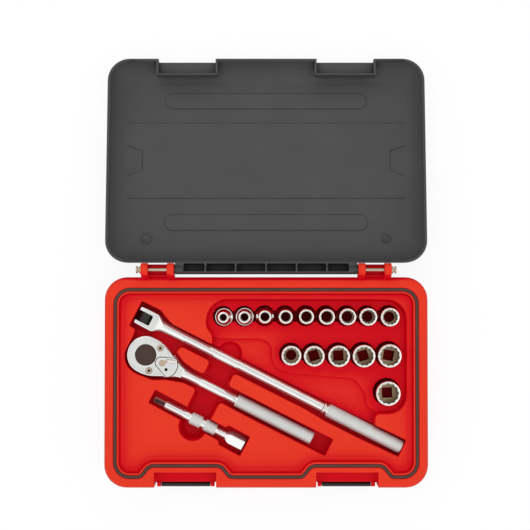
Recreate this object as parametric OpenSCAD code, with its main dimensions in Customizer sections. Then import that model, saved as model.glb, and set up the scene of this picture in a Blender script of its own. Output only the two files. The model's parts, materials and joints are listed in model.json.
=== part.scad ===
// Socket wrench set in a hinged case: a lidded box with a formed tray that holds
// fifteen sockets, a reversible ratchet, a hinged handle and a drive adaptor.
// Origin: centre of the base's underside. +X right, +Y to the hinge, +Z up.
// The lid is drawn open on its stop and both latches hang down.

/* [Case] */
// Overall length of the case along X
case_l = 388; // [370:1:420]
// Overall width of the case along Y
case_w = 252; // [246:1:280]
// Height of the base from its underside to the rim
base_h = 50; // [48:0.5:56]
// Height of the lid above the parting plane
lid_h = 28; // [26:0.5:36]
// Corner radius of the rim in plan
corner_r = 27; // [20:1:34]
// Wall thickness of the moulded shells
wall = 3; // [2.4:0.1:3.4]
// Angle that the lid opens through
lid_open_angle = 185.1; // [180:0.1:185.1]

/* [Seal and tray] */
// Distance from the rim's outer edge to the gasket's centre line
gasket_inset = 13; // [12:0.5:14]
// Width of the gasket cord
gasket_w = 4; // [3:0.5:5]
// Height of the tray's flat top above the underside
tray_top = 44; // [43:0.5:46]
// Thickness of the tray's walls and floors
tray_wall = 1.8; // [1.4:0.1:2.2]

/* [Hinge and latches] */
// Distance of the hinge axis behind the base's back edge
hinge_out = 8.8; // [8.6:0.1:9.6]
// Radius of the hinge pin
hinge_pin_r = 2; // [1.5:0.1:2.5]
// Distance of each latch from the case's middle
latch_x = 97; // [90:1:104]
// Width of a latch
latch_w = 59; // [50:1:62]
// Height of the latch pivot above the underside
latch_z = 33.5; // [33:0.1:34]

/* [Sockets] */
// Across-flats size of the smallest socket
first_size = 8; // [7:1:9]
// Size of the square drive that every tool and socket shares
drive_size = 12.7; // [12.6:0.01:12.8]
// Length of every socket
socket_l = 38; // [36:0.5:39]
// Diameter of a small socket's drive end
drive_end_d = 22; // [21:0.5:22.5]

/* [Tools] */
// Angle that the handles lie at, below the +X direction
tool_angle = 26.8; // [26:0.1:27.5]
// Length of the ratchet from its head's centre to the grip's end
ratchet_l = 224.5; // [215:0.5:230]
// Radius of the ratchet's round head
head_r = 22.4; // [21:0.1:23]
// Number of teeth on the ratchet's gear
gear_teeth = 36; // [24:12:72]
// Length of the hinged handle
hinged_l = 357; // [340:1:358]
// Length of the drive adaptor
adaptor_l = 121.5; // [118:0.5:122]

/* [Hidden] */
NODES = ["base_shell", "tool_tray", "socket_deck", "back_well", "front_well", "corner_well", "ratchet_well",
         "handle_well", "adaptor_well", "finger_well", "rim_gasket", "lid_shell", "hinge_pins",
         "latch_left", "latch_right", "latch_pins", "socket_08", "socket_09", "socket_10", "socket_11", "socket_12", "socket_13",
         "socket_14", "socket_15", "socket_16", "socket_17", "socket_18", "socket_19", "socket_20",
         "socket_21", "socket_22", "ratchet_body", "ratchet_cover", "cover_screws", "ratchet_gear",
         "ratchet_disc", "ratchet_ball", "ratchet_pawl", "reversing_lever", "pawl_plunger",
         "hinged_handle", "handle_drive", "handle_pin", "handle_ball", "adaptor_bar", "adaptor_ball"];
$fn = 64;
SLAB = 0.02;          // thickness of the plates that a hull joins
CUT = 40;             // length that a cut runs past the body it opens
GAP = 0.3;            // clearance between parts that lie next to each other
FIT = 0.04;           // radial clearance of a shaft in its bore

hinge_y = case_w / 2 + hinge_out;
hinge_z = base_h + 0.15;   // the lid parts from the rim just above it
lid_z = base_h + GAP;
lid_top = base_h + lid_h;

// Rim and cavity
rim_w = 17.6;                    // rim's outer edge to the cavity
back_rim_w = 19.6;               // the same on the hinge side
cav_l = case_l - 2 * rim_w;
cav_w = case_w - rim_w - back_rim_w;
cav_front = rim_w - case_w / 2;
cav_r = 13;
left_wall = -cav_l / 2;
right_wall = cav_l / 2;
gasket_out = rim_w - gasket_inset;
recess_w = 74;                   // latch recess, along X
recess_back = -case_w / 2 + 18.4;
recess_front = -case_w / 2 + 5;  // face that the latch hangs against
recess_floor = 36;
bump_y = -95;                    // how far the cavity steps in behind a recess
bump_top = 45;                   // half widths of that step
bump_bottom = 57;
bump_rise = 15;
bump_r = 16;                     // corner radii of that step, at its top and at its foot
foot_r = 3;

// Hinge and latches
lug_in = 110.3;
lug_out = 150.2;
lug_t = 8.7;
lug_r = 8.2;
lug_drop = 14;                   // how far the bracket reaches below the pin
pin_head_r = 4.3;
beam_half = 109.8;
beam_r = 4.2;
beam_h = 12;
WINDOWS = [[1.2, 35.4], [37.7, 71.8], [74, 99.2]];   // closed windows on each half of the beam, along X
latch_pin_r = 1.2;
latch_h = 30.9;
rib_end = 23;                    // height of the latch's ribs, which stay below the lid's catch
latch_y = recess_front - 3.4;
catch_z = 61;
lid_recess = 70;

// Tray levels: the floors of its pockets
tray_gap = 0.6;                  // between the tray and the cavity wall
deck_z = 34;
step_z = 31;
scoop_z = 24;
trench_z = 22;
channel_z = 25;
fork_z = 21.5;
adaptor_floor = 27.55;
drive_hole_z = 6;                // holes that the drive squares hang in
socket_z = 10;
well_gap = 1.6;                  // between a socket and its well
well_shift = 0.8;                // how far the wells lie behind and left of the sockets
trench_u = [74.5, 103.5];        // trench floor, along the ratchet
trench_slope = 3;

// Socket places: [distance from the right wall, y, turn of the square drive]; the sizes count up from first_size
SOCKETS = [[227.9, 77.7, 20], [202.5, 78, 5], [177.8, 78.4, 33], [152.8, 78.4, 12], [127.9, 78.6, 40],
           [103.3, 78.4, 25], [78.3, 78.4, 8], [53.6, 78.4, 35], [27.3, 78, 15], [146.1, 31.9, 28],
           [118.6, 31.2, 18], [88.8, 31.1, 3], [58.8, 31.2, 17], [27.8, 31.5, 79], [29.7, -13.7, 3]];
LAST = len(SOCKETS) - 1;
ROWS = [[0, 8], [9, 13], [14]];  // first and last socket of each well
NAMES = [for (i = [0:LAST]) NODES[16 + i]];

// Tool places: the point that each tool's own frame starts from
ratchet_at = [left_wall + 31.3, 32.5];
hinged_at = [left_wall + 21, 81.4];
adaptor_at = [left_wall + 41.2, -21.2];
ratchet_z = 35;
hinged_z = 34;
adaptor_z = 35.5;
square_roll = 17;                // turn of the adaptor's square about its length
head_bottom = 26;
head_top = 43.5;
cover_z = 41;
lever_at = 22.5;
pivot_u = 10;
drive_reach = 26;
fork_half = 6.5;
slot_end = pivot_u + 8.8;
slot_r = 1;
shank_r = 5.7;

red = [0.88, 0.14, 0.10];
dark = [0.20, 0.20, 0.21];
black = [0.04, 0.04, 0.04];
chrome = [0.82, 0.84, 0.83];
satin = [0.70, 0.71, 0.71];
bronze = [0.28, 0.20, 0.17];
rubber = [0.25, 0.19, 0.17];

// ---------- shared shapes ----------

// Rectangle with round corners, centred
module rounded(l, w, r) {
    square([l - 2 * r, w], center = true);
    square([l, w - 2 * r], center = true);
    for (x = [-1, 1], y = [-1, 1]) translate([x * (l / 2 - r), y * (w / 2 - r)]) circle(r);
}

// Body whose outline changes with height; levels are [z, length, width, corner radius]
module lofted(levels) {
    hull() for (lv = levels) translate([0, 0, lv[0]])
        linear_extrude(SLAB) rounded(lv[1], lv[2], lv[3], $fn = 32);
}

module span(z0, z1) {
    translate([0, 0, z0]) linear_extrude(z1 - z0) children();
}

// Box from a low corner to a high corner
module box(lo, hi) {
    translate(lo) cube(hi - lo);
}

// Cylinder along X
module rod_x(x0, x1, r) {
    translate([x0, 0, 0]) rotate([0, 90, 0]) cylinder(h = x1 - x0, r = r);
}

// A tool's own frame: x along the tool, y across it
module tool_frame(at, z = 0) {
    translate([at[0], at[1], z]) rotate([0, 0, -tool_angle]) children();
}

// Square bar of the drive size, along +Z
module square_bar(h, size = drive_size) {
    intersection() {
        translate([-size / 2, -size / 2, 0]) cube([size, size, h]);
        cylinder(h = h, r = size * 0.655);
    }
}

// ---------- case base ----------

// Points round a centre, from one angle to another
function arc(middle, r, from, to, steps = 6) =
    [for (i = [0:steps]) middle + r * [cos(from + (to - from) * i / steps), sin(from + (to - from) * i / steps)]];
// One side of the step behind a latch, in a soft curve, with the cavity grown by g
function step_side(g) = let (lean = atan2(bump_rise, bump_bottom - bump_top), shift = tan(lean / 2),
                             top = [bump_top - bump_r * shift, bump_y - bump_r],
                             foot = [bump_top + (bump_y - cav_front) / tan(lean) + foot_r * shift, cav_front + foot_r])
    concat(arc(top, bump_r - g, 90, 90 - lean), arc(foot, foot_r + g, 270 - lean, 270), [[foot[0], -case_w]]);

// Plan of the base's cavity, grown by g
module cavity_plan(g = 0) {
    side = step_side(g);
    difference() {
        translate([0, cav_front + cav_w / 2]) rounded(cav_l + 2 * g, cav_w + 2 * g, cav_r + g);
        for (s = [-1, 1]) translate([s * latch_x, 0])
            polygon(concat(side, [for (i = [len(side) - 1:-1:0]) [-side[i][0], side[i][1]]]));
    }
}

module at_latches() {
    for (s = [-1, 1]) translate([s * latch_x, 0, 0]) children();
}

module recess_cut() {
    box([-recess_w / 2, -case_w / 2 - CUT, recess_floor], [recess_w / 2, recess_back, base_h + CUT]);
    box([-recess_w / 2, -case_w / 2 - CUT, -CUT], [recess_w / 2, recess_front, recess_floor]);
}

// What stays solid around a recess when the wall channel is hollowed
module recess_walls() {
    half = recess_w / 2 + wall;
    box([-half, -case_w / 2 - CUT, recess_floor - wall], [half, recess_back + wall, base_h + CUT]);
    box([-half, -case_w / 2 - CUT, -CUT], [half, recess_front + wall, recess_floor]);
}

module latch_ears() {
    for (x = [-latch_w / 2 - 5.2, latch_w / 2 + 0.5]) translate([0, latch_y, latch_z]) {
        rod_x(x, x + 4.7, 2.6);
        box([x, 0, -2.6], [x + 4.7, recess_front - latch_y + 0.5, 2.6]);
    }
}
// Brackets that carry the hinge pins, closed below the pin
module hinge_lugs() {
    for (s = [0, 1]) mirror([s, 0, 0]) translate([0, hinge_y, hinge_z]) {
        for (x = [lug_in, lug_out - lug_t]) {
            rod_x(x, x + lug_t, lug_r);
            box([x, -hinge_out - wall, -lug_drop], [x + lug_t, 0, -2]);
        }
        box([lug_in, -hinge_out - wall, -lug_drop], [lug_out, -6, -3.8]);
        box([lug_in, -7, -lug_drop], [lug_out, 6.8, -9]);
    }
}

module base_shell() {
    color(red) difference() {
        union() {
            difference() {
                lofted([[0, case_l - 6, case_w - 6, corner_r - 3], [base_h - 3.6, case_l, case_w, corner_r],
                        [base_h - SLAB, case_l - 7, case_w - 7, corner_r - 3.5]]);
                difference() {
                    lofted([[-SLAB, case_l - 12, case_w - 12, corner_r - 6],
                            [base_h - 4.6, case_l - 6, case_w - 6, corner_r - 3]]);
                    span(-1, base_h) cavity_plan(wall);
                    at_latches() recess_walls();
                }
                span(wall, base_h + 1) cavity_plan();
                at_latches() recess_cut();
            }
            at_latches() latch_ears();
            hinge_lugs();
        }
        span(base_h - 2.8, base_h + 1) difference() {
            cavity_plan(gasket_out + gasket_w / 2);
            cavity_plan(gasket_out - gasket_w / 2);
        }
        translate([0, hinge_y, hinge_z]) rod_x(-case_l, case_l, hinge_pin_r + FIT);
        translate([0, latch_y, latch_z]) for (s = [-1, 1])
            rod_x(s * latch_x - latch_w / 2 - CUT / 4, s * latch_x + latch_w / 2 + CUT / 4, latch_pin_r + FIT);
    }
}

module rim_gasket() {
    color(rubber) span(base_h - 2.8, base_h + 0.1) difference() {
        cavity_plan(gasket_out + gasket_w / 2 - 0.1);
        cavity_plan(gasket_out - gasket_w / 2 + 0.1);
    }
}

// ---------- tray ----------

// Straight channel in a tool's frame from u0 to u1 and from v0 to v1, grown by g
module channel(u0, u1, v0, v1, g) {
    translate([u0 - g, v0 - g]) square([u1 - u0 + 2 * g, v1 - v0 + 2 * g]);
}

module tool_plan(at, turn = 0) {
    translate(at) rotate(-tool_angle - turn) children();
}

module from_right() {
    translate([right_wall, 0]) children();
}

// Everything that lies below the tray's flat top around the sockets
module basin_plan(g = 0) {
    from_right() {
        hull() {
            translate([-225.7, 76.8]) circle(24.4 + g);
            translate([-29.9, 77]) circle(24 + g);
            translate([-29.4, -16]) circle(23.6 + g);
        }
        offset(r = g) polygon([[-245.6, 62], [-242.6, 50], [-238, 44], [-53, -55], [-44.2, -54], [-44.1, -44],
                               [-42.4, -40.6], [-37, -39.6], [-37, 0], [-150, 60]]);
    }
}

// The deck that the socket wells open in, a step above the rest of the basin
module deck_plan(g = 0) {
    intersection() {
        basin_plan(g);
        from_right() polygon([[-260, 110], [-260, 60], [-241, 56.4 - g], [-231.3, 52.6 - g], [-189, 52.6 - g],
                              [-179, 50.7 - g], [-173.2, 45.8 - g], [-169.8, 39 - g], [-168.3, 31.3 - g],
                              [-165.9, 23.7 - g], [-160.7, 16.9 - g], [-153.9, 13 - g], [-149, 11.5 - g],
                              [-99, 6.2 - g], [-74.4, 4.6 - g], [-66.8, 1.3 - g], [-60.9, -4.2 - g], [-57, -11.8 - g],
                              [-54.9, -20.4 - g], [-51.6, -27.2 - g], [-46.5, -33.1 - g], [-38, -39.6 - g],
                              [-38, -60], [20, -60], [20, 110]]);
    }
}

function socket_x(i) = right_wall - SOCKETS[i][0];

// Well around the sockets from one to another of the same row
module well_plan(row, g = 0) {
    first = row[0];
    last = row[len(row) - 1];
    half = body_d(last) / 2 + well_gap + g;
    left = socket_x(first) - body_d(first) / 2 - well_gap - g - well_shift;
    translate([left, SOCKETS[last][1] - half + well_shift])
        square([socket_x(last) + half - well_shift - left, 2 * half]);
}

module ratchet_head_plan(g = 0) {
    circle(head_r + 2.8 + g);
    translate([11, 0]) circle(head_r + 1.8 + g);
    offset(r = g) polygon([[-26, 29], [-26, 10], [-12, 0], [12, -24.2], [20, -23.8], [28, -20.3], [36, -16.6],
                           [44, -13.3], [50, -11.6], [56, -10.8], [60, 12.2], [44, 14.7], [41, 16], [32.5, 29]]);
}

module fork_plan(g = 0) {
    offset(r = g) polygon([[-3.8, -18], [5, -18], [48, -12], [48, 9.4], [42.5, 11.8], [24, 18.4], [-3.8, 18.4]]);
}

// Each hollow is drawn twice: grown for the walls around it, and plain to cut it
module basin_hollow(grow, top) {
    span(step_z - (grow > 0 ? tray_wall : 0), top) basin_plan(grow);
}

module well_hollow(row, grow, top) {
    span(socket_z - GAP - (grow > 0 ? tray_wall : 0), top) well_plan(row, grow);
}

module ratchet_hollow(grow, top) {
    drop = grow > 0 ? tray_wall : 0;
    span(channel_z - drop, top) tool_plan(ratchet_at) ratchet_head_plan(grow);
    span(8 - drop, top) tool_plan(ratchet_at) circle(11.5 + grow);
    span(channel_z + 1 - drop, top) tool_plan(ratchet_at) {
        channel(50, 72, -10.5, 12.1, grow);
        channel(72, ratchet_l + 24, -12.4, 12.7, grow);
    }
}

module handle_hollow(grow, top) {
    drop = grow > 0 ? tray_wall : 0;
    span(fork_z - drop, top) tool_plan(hinged_at) channel(-3.8, 27, -18, 18.2, grow);
    span(channel_z - drop, top) tool_plan(hinged_at) {
        fork_plan(grow);
        channel(44, 252, -12, 9.4, grow);
        channel(250, hinged_l + 2, -13.6, 10.2, grow);
    }
    span(drive_hole_z - drop, top) tool_plan(hinged_at) channel(-3.8, 21, -9, 9, grow);
}

module adaptor_hollow(grow, top) {
    span(adaptor_floor - (grow > 0 ? tray_wall : 0), top) tool_plan(adaptor_at, 1.6) {
        channel(-4, 94, -6.5, 11.7, grow);
        channel(92, adaptor_l + 3.5, -11.2, 16, grow);
    }
}

// Trench across the handles with a scoop at each end, for the fingers
module finger_hollow(grow, top) {
    drop = grow > 0 ? tray_wall : 0;
    tool_frame(ratchet_at) hull() {
        span(trench_z - drop, trench_z) channel(trench_u[0], trench_u[1], -51.7, 39, grow);
        span(tray_top, top) channel(trench_u[0] - trench_slope, trench_u[1] + trench_slope, -51.7, 39, grow);
    }
    span(trench_z - drop, top) tool_plan(ratchet_at) translate([89.5, -51.3]) circle(16.9 + grow);
    span(scoop_z - drop, top) tool_plan(ratchet_at) translate([89.7, 46.3]) circle(14.6 + grow);
}

module hollows(grow, top) {
    basin_hollow(grow, top);
    for (row = ROWS) well_hollow(row, grow, top);
    ratchet_hollow(grow, top);
    handle_hollow(grow, top);
    adaptor_hollow(grow, top);
    finger_hollow(grow, top);
}

module tray_plan(g = 0) {
    cavity_plan(g - tray_gap);
}

// Flat top of the tray with the skirt that it stands on
module tool_tray() {
    color(red) difference() {
        union() {
            span(tray_top - 2.2, tray_top) tray_plan();
            span(wall, tray_top - 1) difference() {
                tray_plan();
                tray_plan(-tray_wall);
            }
        }
        hollows(tray_wall, base_h + CUT);
    }
}

// Walls around one hollow, inside the tray and clear of every hollow
module walled() {
    color(red) difference() {
        intersection() {
            children(0);
            span(wall, tray_top) tray_plan();
        }
        hollows(0, base_h + CUT);
        if ($children > 1) children(1);
    }
}

// Basin's wall and the deck that the wells open in
module socket_deck() {
    color(red) difference() {
        intersection() {
            union() {
                basin_hollow(tray_wall, tray_top);
                span(step_z - 1, deck_z) deck_plan();
            }
            span(wall, tray_top) tray_plan();
        }
        difference() {
            basin_hollow(0, base_h + CUT);
            span(step_z - CUT, deck_z) deck_plan();
        }
        for (row = ROWS) well_hollow(row, tray_wall, base_h + CUT);
        ratchet_hollow(tray_wall, base_h + CUT);
        handle_hollow(tray_wall, base_h + CUT);
        adaptor_hollow(tray_wall, base_h + CUT);
        finger_hollow(tray_wall, base_h + CUT);
    }
}

// Well of one row of sockets, up to the deck
module socket_well(row) {
    color(red) difference() {
        well_hollow(row, tray_wall, deck_z);
        well_hollow(row, 0, base_h + CUT);
    }
}

module finger_well() {
    walled() finger_hollow(tray_wall, tray_top);
}

module ratchet_well() {
    walled() {
        ratchet_hollow(tray_wall, tray_top);
        finger_hollow(tray_wall, base_h + CUT);
    }
}

module handle_well() {
    walled() {
        handle_hollow(tray_wall, tray_top);
        union() {
            finger_hollow(tray_wall, base_h + CUT);
            ratchet_hollow(tray_wall, base_h + CUT);
        }
    }
}

module adaptor_well() {
    walled() {
        adaptor_hollow(tray_wall, tray_top);
        finger_hollow(tray_wall, base_h + CUT);
    }
}

// ---------- lid ----------

// Everything of the lid is drawn closed, and this turns it open about the hinge
module opened() {
    translate([0, hinge_y, hinge_z]) rotate([-lid_open_angle, 0, 0])
        translate([0, -hinge_y, -hinge_z]) children();
}

module lid_recess_cut() {
    half = lid_recess / 2;
    box([-half, -case_w / 2 - CUT, 0], [half, recess_back, catch_z - wall]);
    box([-half, -case_w / 2 - CUT, 0], [half, recess_front - 2.2, lid_top + CUT]);
    box([-half, -case_w / 2 - CUT, catch_z], [half, recess_front + 1.5, catch_z + 4.6]);
    box([-half, -case_w / 2 - CUT, catch_z + 4.5], [half, recess_front, lid_top + CUT]);
}

module lid_recess_walls() {
    half = lid_recess / 2 + 2.6;
    box([-half, -case_w / 2 - CUT, 0], [half, recess_back + 2.6, catch_z]);
    box([-half, -case_w / 2 - CUT, catch_z - 1], [half, recess_front + 4.4, lid_top - 2]);
}

// Raised panels inside the lid: two long ones with round ends and a broad band
module lid_panels() {
    span(lid_top - 4.2, lid_top - 2.5) {
        for (y = [-86, 60]) translate([0, y]) rounded(242, 19, 9.4);
        difference() {
            translate([0, -12]) rounded(344, 88, 6);
            for (s = [-1, 1]) translate([s * 172, -12]) polygon([[25, 21], [-25, 12], [-25, -12], [25, -21]]);
        }
    }
}

module lid_shell() {
    inner = [[lid_z - SLAB * 2, case_l - 6, case_w - 6, corner_r - 3], [lid_z + 6, case_l - 9, case_w - 9, corner_r - 4],
             [lid_z + 13, case_l - 17, case_w - 17, corner_r - 6], [lid_top - 6, case_l - 29, case_w - 29, corner_r - 9],
             [lid_top - 3, case_l - 46, case_w - 46, corner_r - 14]];
    color(dark) opened() difference() {
        union() {
            difference() {
                lofted([[lid_z, case_l, case_w, corner_r], [lid_z + 14, case_l - 3, case_w - 3, corner_r - 1.5],
                        [lid_top - 5, case_l - 12, case_w - 12, corner_r - 6],
                        [lid_top - SLAB, case_l - 24, case_w - 24, corner_r - 12]]);
                difference() {
                    lofted(inner);
                    at_latches() lid_recess_walls();
                    lid_panels();
                }
                at_latches() lid_recess_cut();
            }
            translate([0, hinge_y, hinge_z]) {
                rod_x(-beam_half, beam_half, beam_r);
                box([-beam_half, -hinge_out - 2, 0.15], [beam_half, 0, beam_h]);
                box([-beam_half, 0, 0], [beam_half, beam_r, beam_h]);
            }
        }
        translate([0, hinge_y, hinge_z]) {
            for (s = [0, 1]) mirror([s, 0, 0]) for (w = WINDOWS) box([w[0], -7.9, -10], [w[1], 2.2, beam_h - 1.5]);
            for (s = [-1, 1]) translate([s * (beam_half - 3.4), 0, 0])
                rod_x(-6, 6, hinge_pin_r + FIT);
        }
    }
}

module hinge_pins() {
    color("tan") translate([0, hinge_y, hinge_z]) for (s = [0, 1]) mirror([s, 0, 0]) {
        rod_x(beam_half - 9, lug_out + 4, hinge_pin_r);
        rod_x(lug_out + 0.2, lug_out + 1.9, pin_head_r);
        rod_x(lug_out + 1.8, lug_out + 4.2, pin_head_r - 1.4);
        rod_x(lug_out + 4.1, lug_out + 5.8, pin_head_r);
    }
}

// ---------- latches ----------

// Drawn closed about its pivot, then turned down to hang
module latch(s) {
    color(black) translate([s * latch_x, latch_y, latch_z]) rotate([180, 0, 0]) difference() {
        union() {
            box([-latch_w / 2, -2.8, 0], [latch_w / 2, -0.2, latch_h]);
            box([-latch_w / 2, -0.3, latch_h - 3], [latch_w / 2, 4, latch_h]);
            rod_x(-latch_w / 2, latch_w / 2, 2.4);
            for (x = [-20, 0, 20]) box([x - 1, -0.3, 2], [x + 1, 1.8, rib_end]);
        }
        rod_x(-latch_w, latch_w, latch_pin_r + FIT);
    }
}

module latch_pins() {
    color("silver") translate([0, latch_y, latch_z]) for (s = [-1, 1])
        rod_x(s * latch_x - latch_w / 2 - 5.2, s * latch_x + latch_w / 2 + 5.2, latch_pin_r);
}

// ---------- sockets ----------

function size_of(i) = first_size + i;
function nose_d(i) = 5.2 + 1.13 * size_of(i);
function body_d(i) = max(drive_end_d, nose_d(i));

// Opening of a twelve-point nose with the given across-flats size
module twelve_point(size) {
    for (a = [0, 30]) rotate(a) circle(size / sqrt(3), $fn = 6);
}

module socket(i) {
    bore = min(size_of(i) + 0.08, drive_size * 1.02) / 2;
    drive_h = 15.5;
    recess_h = 9 + size_of(i) * 0.35;
    color(chrome) translate([socket_x(i), SOCKETS[i][1], socket_z]) difference() {
        rotate_extrude() polygon([[0, 0], [body_d(i) / 2 - 0.8, 0], [body_d(i) / 2, 0.8], [body_d(i) / 2, 16.5],
                                  [nose_d(i) / 2, 19], [nose_d(i) / 2, socket_l - 0.9],
                                  [nose_d(i) / 2 - 0.9, socket_l], [0, socket_l]]);
        rotate(SOCKETS[i][2]) translate([0, 0, -1]) linear_extrude(drive_h + 1)
            square(drive_size + 0.2, center = true);
        translate([0, 0, -1]) cylinder(h = socket_l + 2, r = bore);
        rotate(SOCKETS[i][2]) translate([0, 0, socket_l - recess_h]) linear_extrude(recess_h + 1)
            twelve_point(size_of(i) + 0.2);
        translate([0, 0, socket_l - 1]) cylinder(h = 1.2, r1 = size_of(i) / 2 - 0.2, r2 = size_of(i) / 2 + 1.3);
    }
}

// ---------- ratchet ----------

module ratchet_frame() {
    tool_frame(ratchet_at) children();
}

// Outline of the head, shrunk by g
module head_outline(g = 0) {
    hull() {
        circle(head_r - g, $fn = 48);
        translate([11, 0]) circle(head_r - 0.9 - g, $fn = 48);
        translate([30, 0]) circle(14 - g, $fn = 48);
    }
}

module cover_plan(g = 0) {
    circle(20.6 + g);
    translate([9, 0]) circle(19.6 + g);
    translate([0, -19.6 - g]) square([9, 39.2 + 2 * g]);
}

module at_screws() {
    for (s = [-1, 1]) translate([12.1, s * 15.1, 0]) children();
}

module ratchet_body() {
    grip_from = 122;
    color(chrome) ratchet_frame() difference() {
        union() {
            span(head_bottom, head_top) head_outline();
            hull() {
                translate([31, -11, head_bottom + 2]) cube([3, 22, 14]);
                translate([54, 0, ratchet_z]) rotate([0, 90, 0]) cylinder(h = 0.5, r = 5.3, $fn = 32);
            }
            translate([0, 0, ratchet_z]) {
                rod_x(50, grip_from + 2, 5.35);
                rod_x(grip_from, ratchet_l - 1, 7.7);
                rod_x(ratchet_l - 1.5, ratchet_l, 6.9);
            }
        }
        span(head_bottom - 1, head_bottom + 4) circle(11.5 + FIT);
        span(head_bottom + 3, head_top + 1) circle(14.6);
        span(cover_z, head_top + 1) cover_plan(0.1);
        span(30, 40.6) translate([10, -8]) square([19, 16]);
        at_screws() span(33, head_top) circle(1.5 + FIT);
        translate([lever_at, 0, 0]) {
            span(40, head_top + 1) circle(3 + FIT);
            span(28, 31) circle(2 + FIT);
        }
    }
}

module ratchet_cover() {
    color(chrome) ratchet_frame() difference() {
        span(cover_z, head_top) cover_plan();
        span(cover_z - 1, head_top + 1) circle(12.75 + FIT);
        at_screws() {
            span(cover_z - 1, head_top + 1) circle(1.5 + FIT);
            span(cover_z + 0.8, head_top + 1) circle(4 + FIT);
        }
        translate([lever_at, 0, 0]) span(cover_z - 1, head_top + 1) circle(3 + FIT * 2);
    }
}

module cover_screws() {
    color("tan") ratchet_frame() at_screws() difference() {
        union() {
            span(34, cover_z + 1) circle(1.5);
            span(cover_z + 0.8, head_top) circle(4);
        }
        span(head_top - 1.5, head_top + 1) circle(1.5, $fn = 6);
    }
}

// Toothed ring with its journals and the square drive below it
module ratchet_gear() {
    tooth = 360 / gear_teeth;
    color(satin) ratchet_frame() difference() {
        union() {
            span(head_bottom + 3.2, cover_z - 0.2) polygon([for (k = [0:2 * gear_teeth - 1])
                let (r = k % 2 == 0 ? 13.6 : 12.3, a = (k + 0.5) * tooth / 2) [r * cos(a), r * sin(a)]]);
            span(head_bottom - 0.5, head_bottom + 3.4) circle(11.5);
            translate([0, 0, head_bottom - 15.5]) square_bar(16);
        }
        translate([0, 0, head_bottom - 8]) rotate([0, 90, 0]) cylinder(h = 10, r = 2.05);
    }
}

module ratchet_ball() {
    color("silver") ratchet_frame() translate([drive_size / 2 - 1.5, 0, head_bottom - 8]) sphere(2);
}

// Round plate that closes the top of the gear
module ratchet_disc() {
    color(bronze) ratchet_frame() span(cover_z - 0.2, head_top) circle(12.75);
}

// Double-ended pawl around the lever's axle, in its middle place
module ratchet_pawl() {
    color(satin) ratchet_frame() span(30, 36) difference() {
        union() {
            translate([lever_at, 0]) circle(3.6);
            translate([14, -6.4]) square([7, 12.8]);
        }
        circle(14.3);
        translate([lever_at, 0]) circle(2.08);
    }
}

// Fan-shaped thumb lever on its axle
module reversing_lever() {
    color(chrome) ratchet_frame() {
        span(head_top + 0.15, head_top + 2.6) hull() {
            translate([18.4, 1]) circle(3.6, $fn = 32);
            translate([31.5, 9.5]) circle(4, $fn = 32);
            translate([31.5, -8]) circle(4, $fn = 32);
            translate([36.5, 1]) circle(4.6, $fn = 32);
        }
        translate([29.5, 5.2, head_top + 2.4]) rotate([0, 0, 24]) translate([-3.5, -1, 0]) cube([9, 2, 2]);
        translate([lever_at, 0, 0]) {
            span(39.8, head_top + 1) circle(3);
            span(28.5, 40) circle(2);
        }
    }
}

module pawl_plunger() {
    color("silver") ratchet_frame() translate([lever_at + 2, 0, 38.2]) rod_x(0, 4, 1.1);
}

// ---------- hinged handle ----------

module hinged_handle() {
    grip_from = 258;
    color(chrome) tool_frame(hinged_at, hinged_z) difference() {
        union() {
            hull() {
                box([1.5, -10.9, -8], [2, 10.9, 8]);
                box([22, -11.3, -8.5], [24.5, 11.3, 8.5]);
                rod_x(34, 35, shank_r + 0.6, $fn = 32);
            }
            hull() {
                box([0, -9.8, -6.5], [0.5, 9.8, 6.5]);
                box([1.5, -10.9, -8], [2, 10.9, 8]);
            }
            translate([34, 0, 0]) rotate([0, 90, 0]) cylinder(h = 30, r1 = shank_r + 0.6, r2 = shank_r);
            rod_x(60, grip_from + 2, shank_r);
            rod_x(grip_from - 5, grip_from - 2, 7);
            rod_x(grip_from, hinged_l - 1, 8.1);
            rod_x(hinged_l - 1.5, hinged_l, 7.2);
        }
        // slot of the fork with its round corners
        box([-1, -fork_half, -15], [slot_end - slot_r, fork_half, 15]);
        box([-1, -fork_half + slot_r, -15], [slot_end, fork_half - slot_r, 15]);
        for (s = [-1, 1]) translate([slot_end - slot_r, s * (fork_half - slot_r), -15]) cylinder(h = 30, r = slot_r);
        translate([pivot_u, -20, 0]) rotate([-90, 0, 0]) cylinder(h = 40, r = 2.5 + FIT);
    }
}

// Knuckle and square that swivel between the fork's cheeks
module handle_drive() {
    color(black) tool_frame(hinged_at, hinged_z) translate([pivot_u, 0, 0]) difference() {
        union() {
            rotate([-90, 0, 0]) translate([0, 0, -6.2]) cylinder(h = 12.4, r = 8);
            translate([0, 0, -drive_reach]) square_bar(drive_reach - 5, 12.4);
        }
        rotate([-90, 0, 0]) translate([0, 0, -10]) cylinder(h = 20, r = 2.5 + FIT);
        translate([0, 0, -drive_reach + 7]) rotate([0, 90, 0]) cylinder(h = 10, r = 2.05);
    }
}

module handle_pin() {
    color("silver") tool_frame(hinged_at, hinged_z) translate([pivot_u, 0, 0])
        rotate([-90, 0, 0]) translate([0, 0, -10.6]) cylinder(h = 21.2, r = 2.5);
}

module handle_ball() {
    color("silver") tool_frame(hinged_at, hinged_z) translate([pivot_u + 4.7, 0, -drive_reach + 7]) sphere(2);
}

// ---------- drive adaptor ----------

ADAPTOR_COLLARS = [[49, 64], [68, 83.4]];   // ends of the knurled collars, along the adaptor
collar_r = 7.3;
stem_r = 5;                      // bar between the hexagon and the first collar
collar_gap_r = 5.4;              // bar between the collars
neck_r = 4.3;                    // bar between the second collar and the square
hex_across = 6.35;
hex_l = 15;
flare_from = 96;                 // where the bar begins to widen into the square
flare_l = 8;
flare_r = 9;
lap = 1;                         // how far neighbouring pieces of the bar reach into each other
adaptor_ball_u = 111;
ball_hole_r = 2.05;

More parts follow.
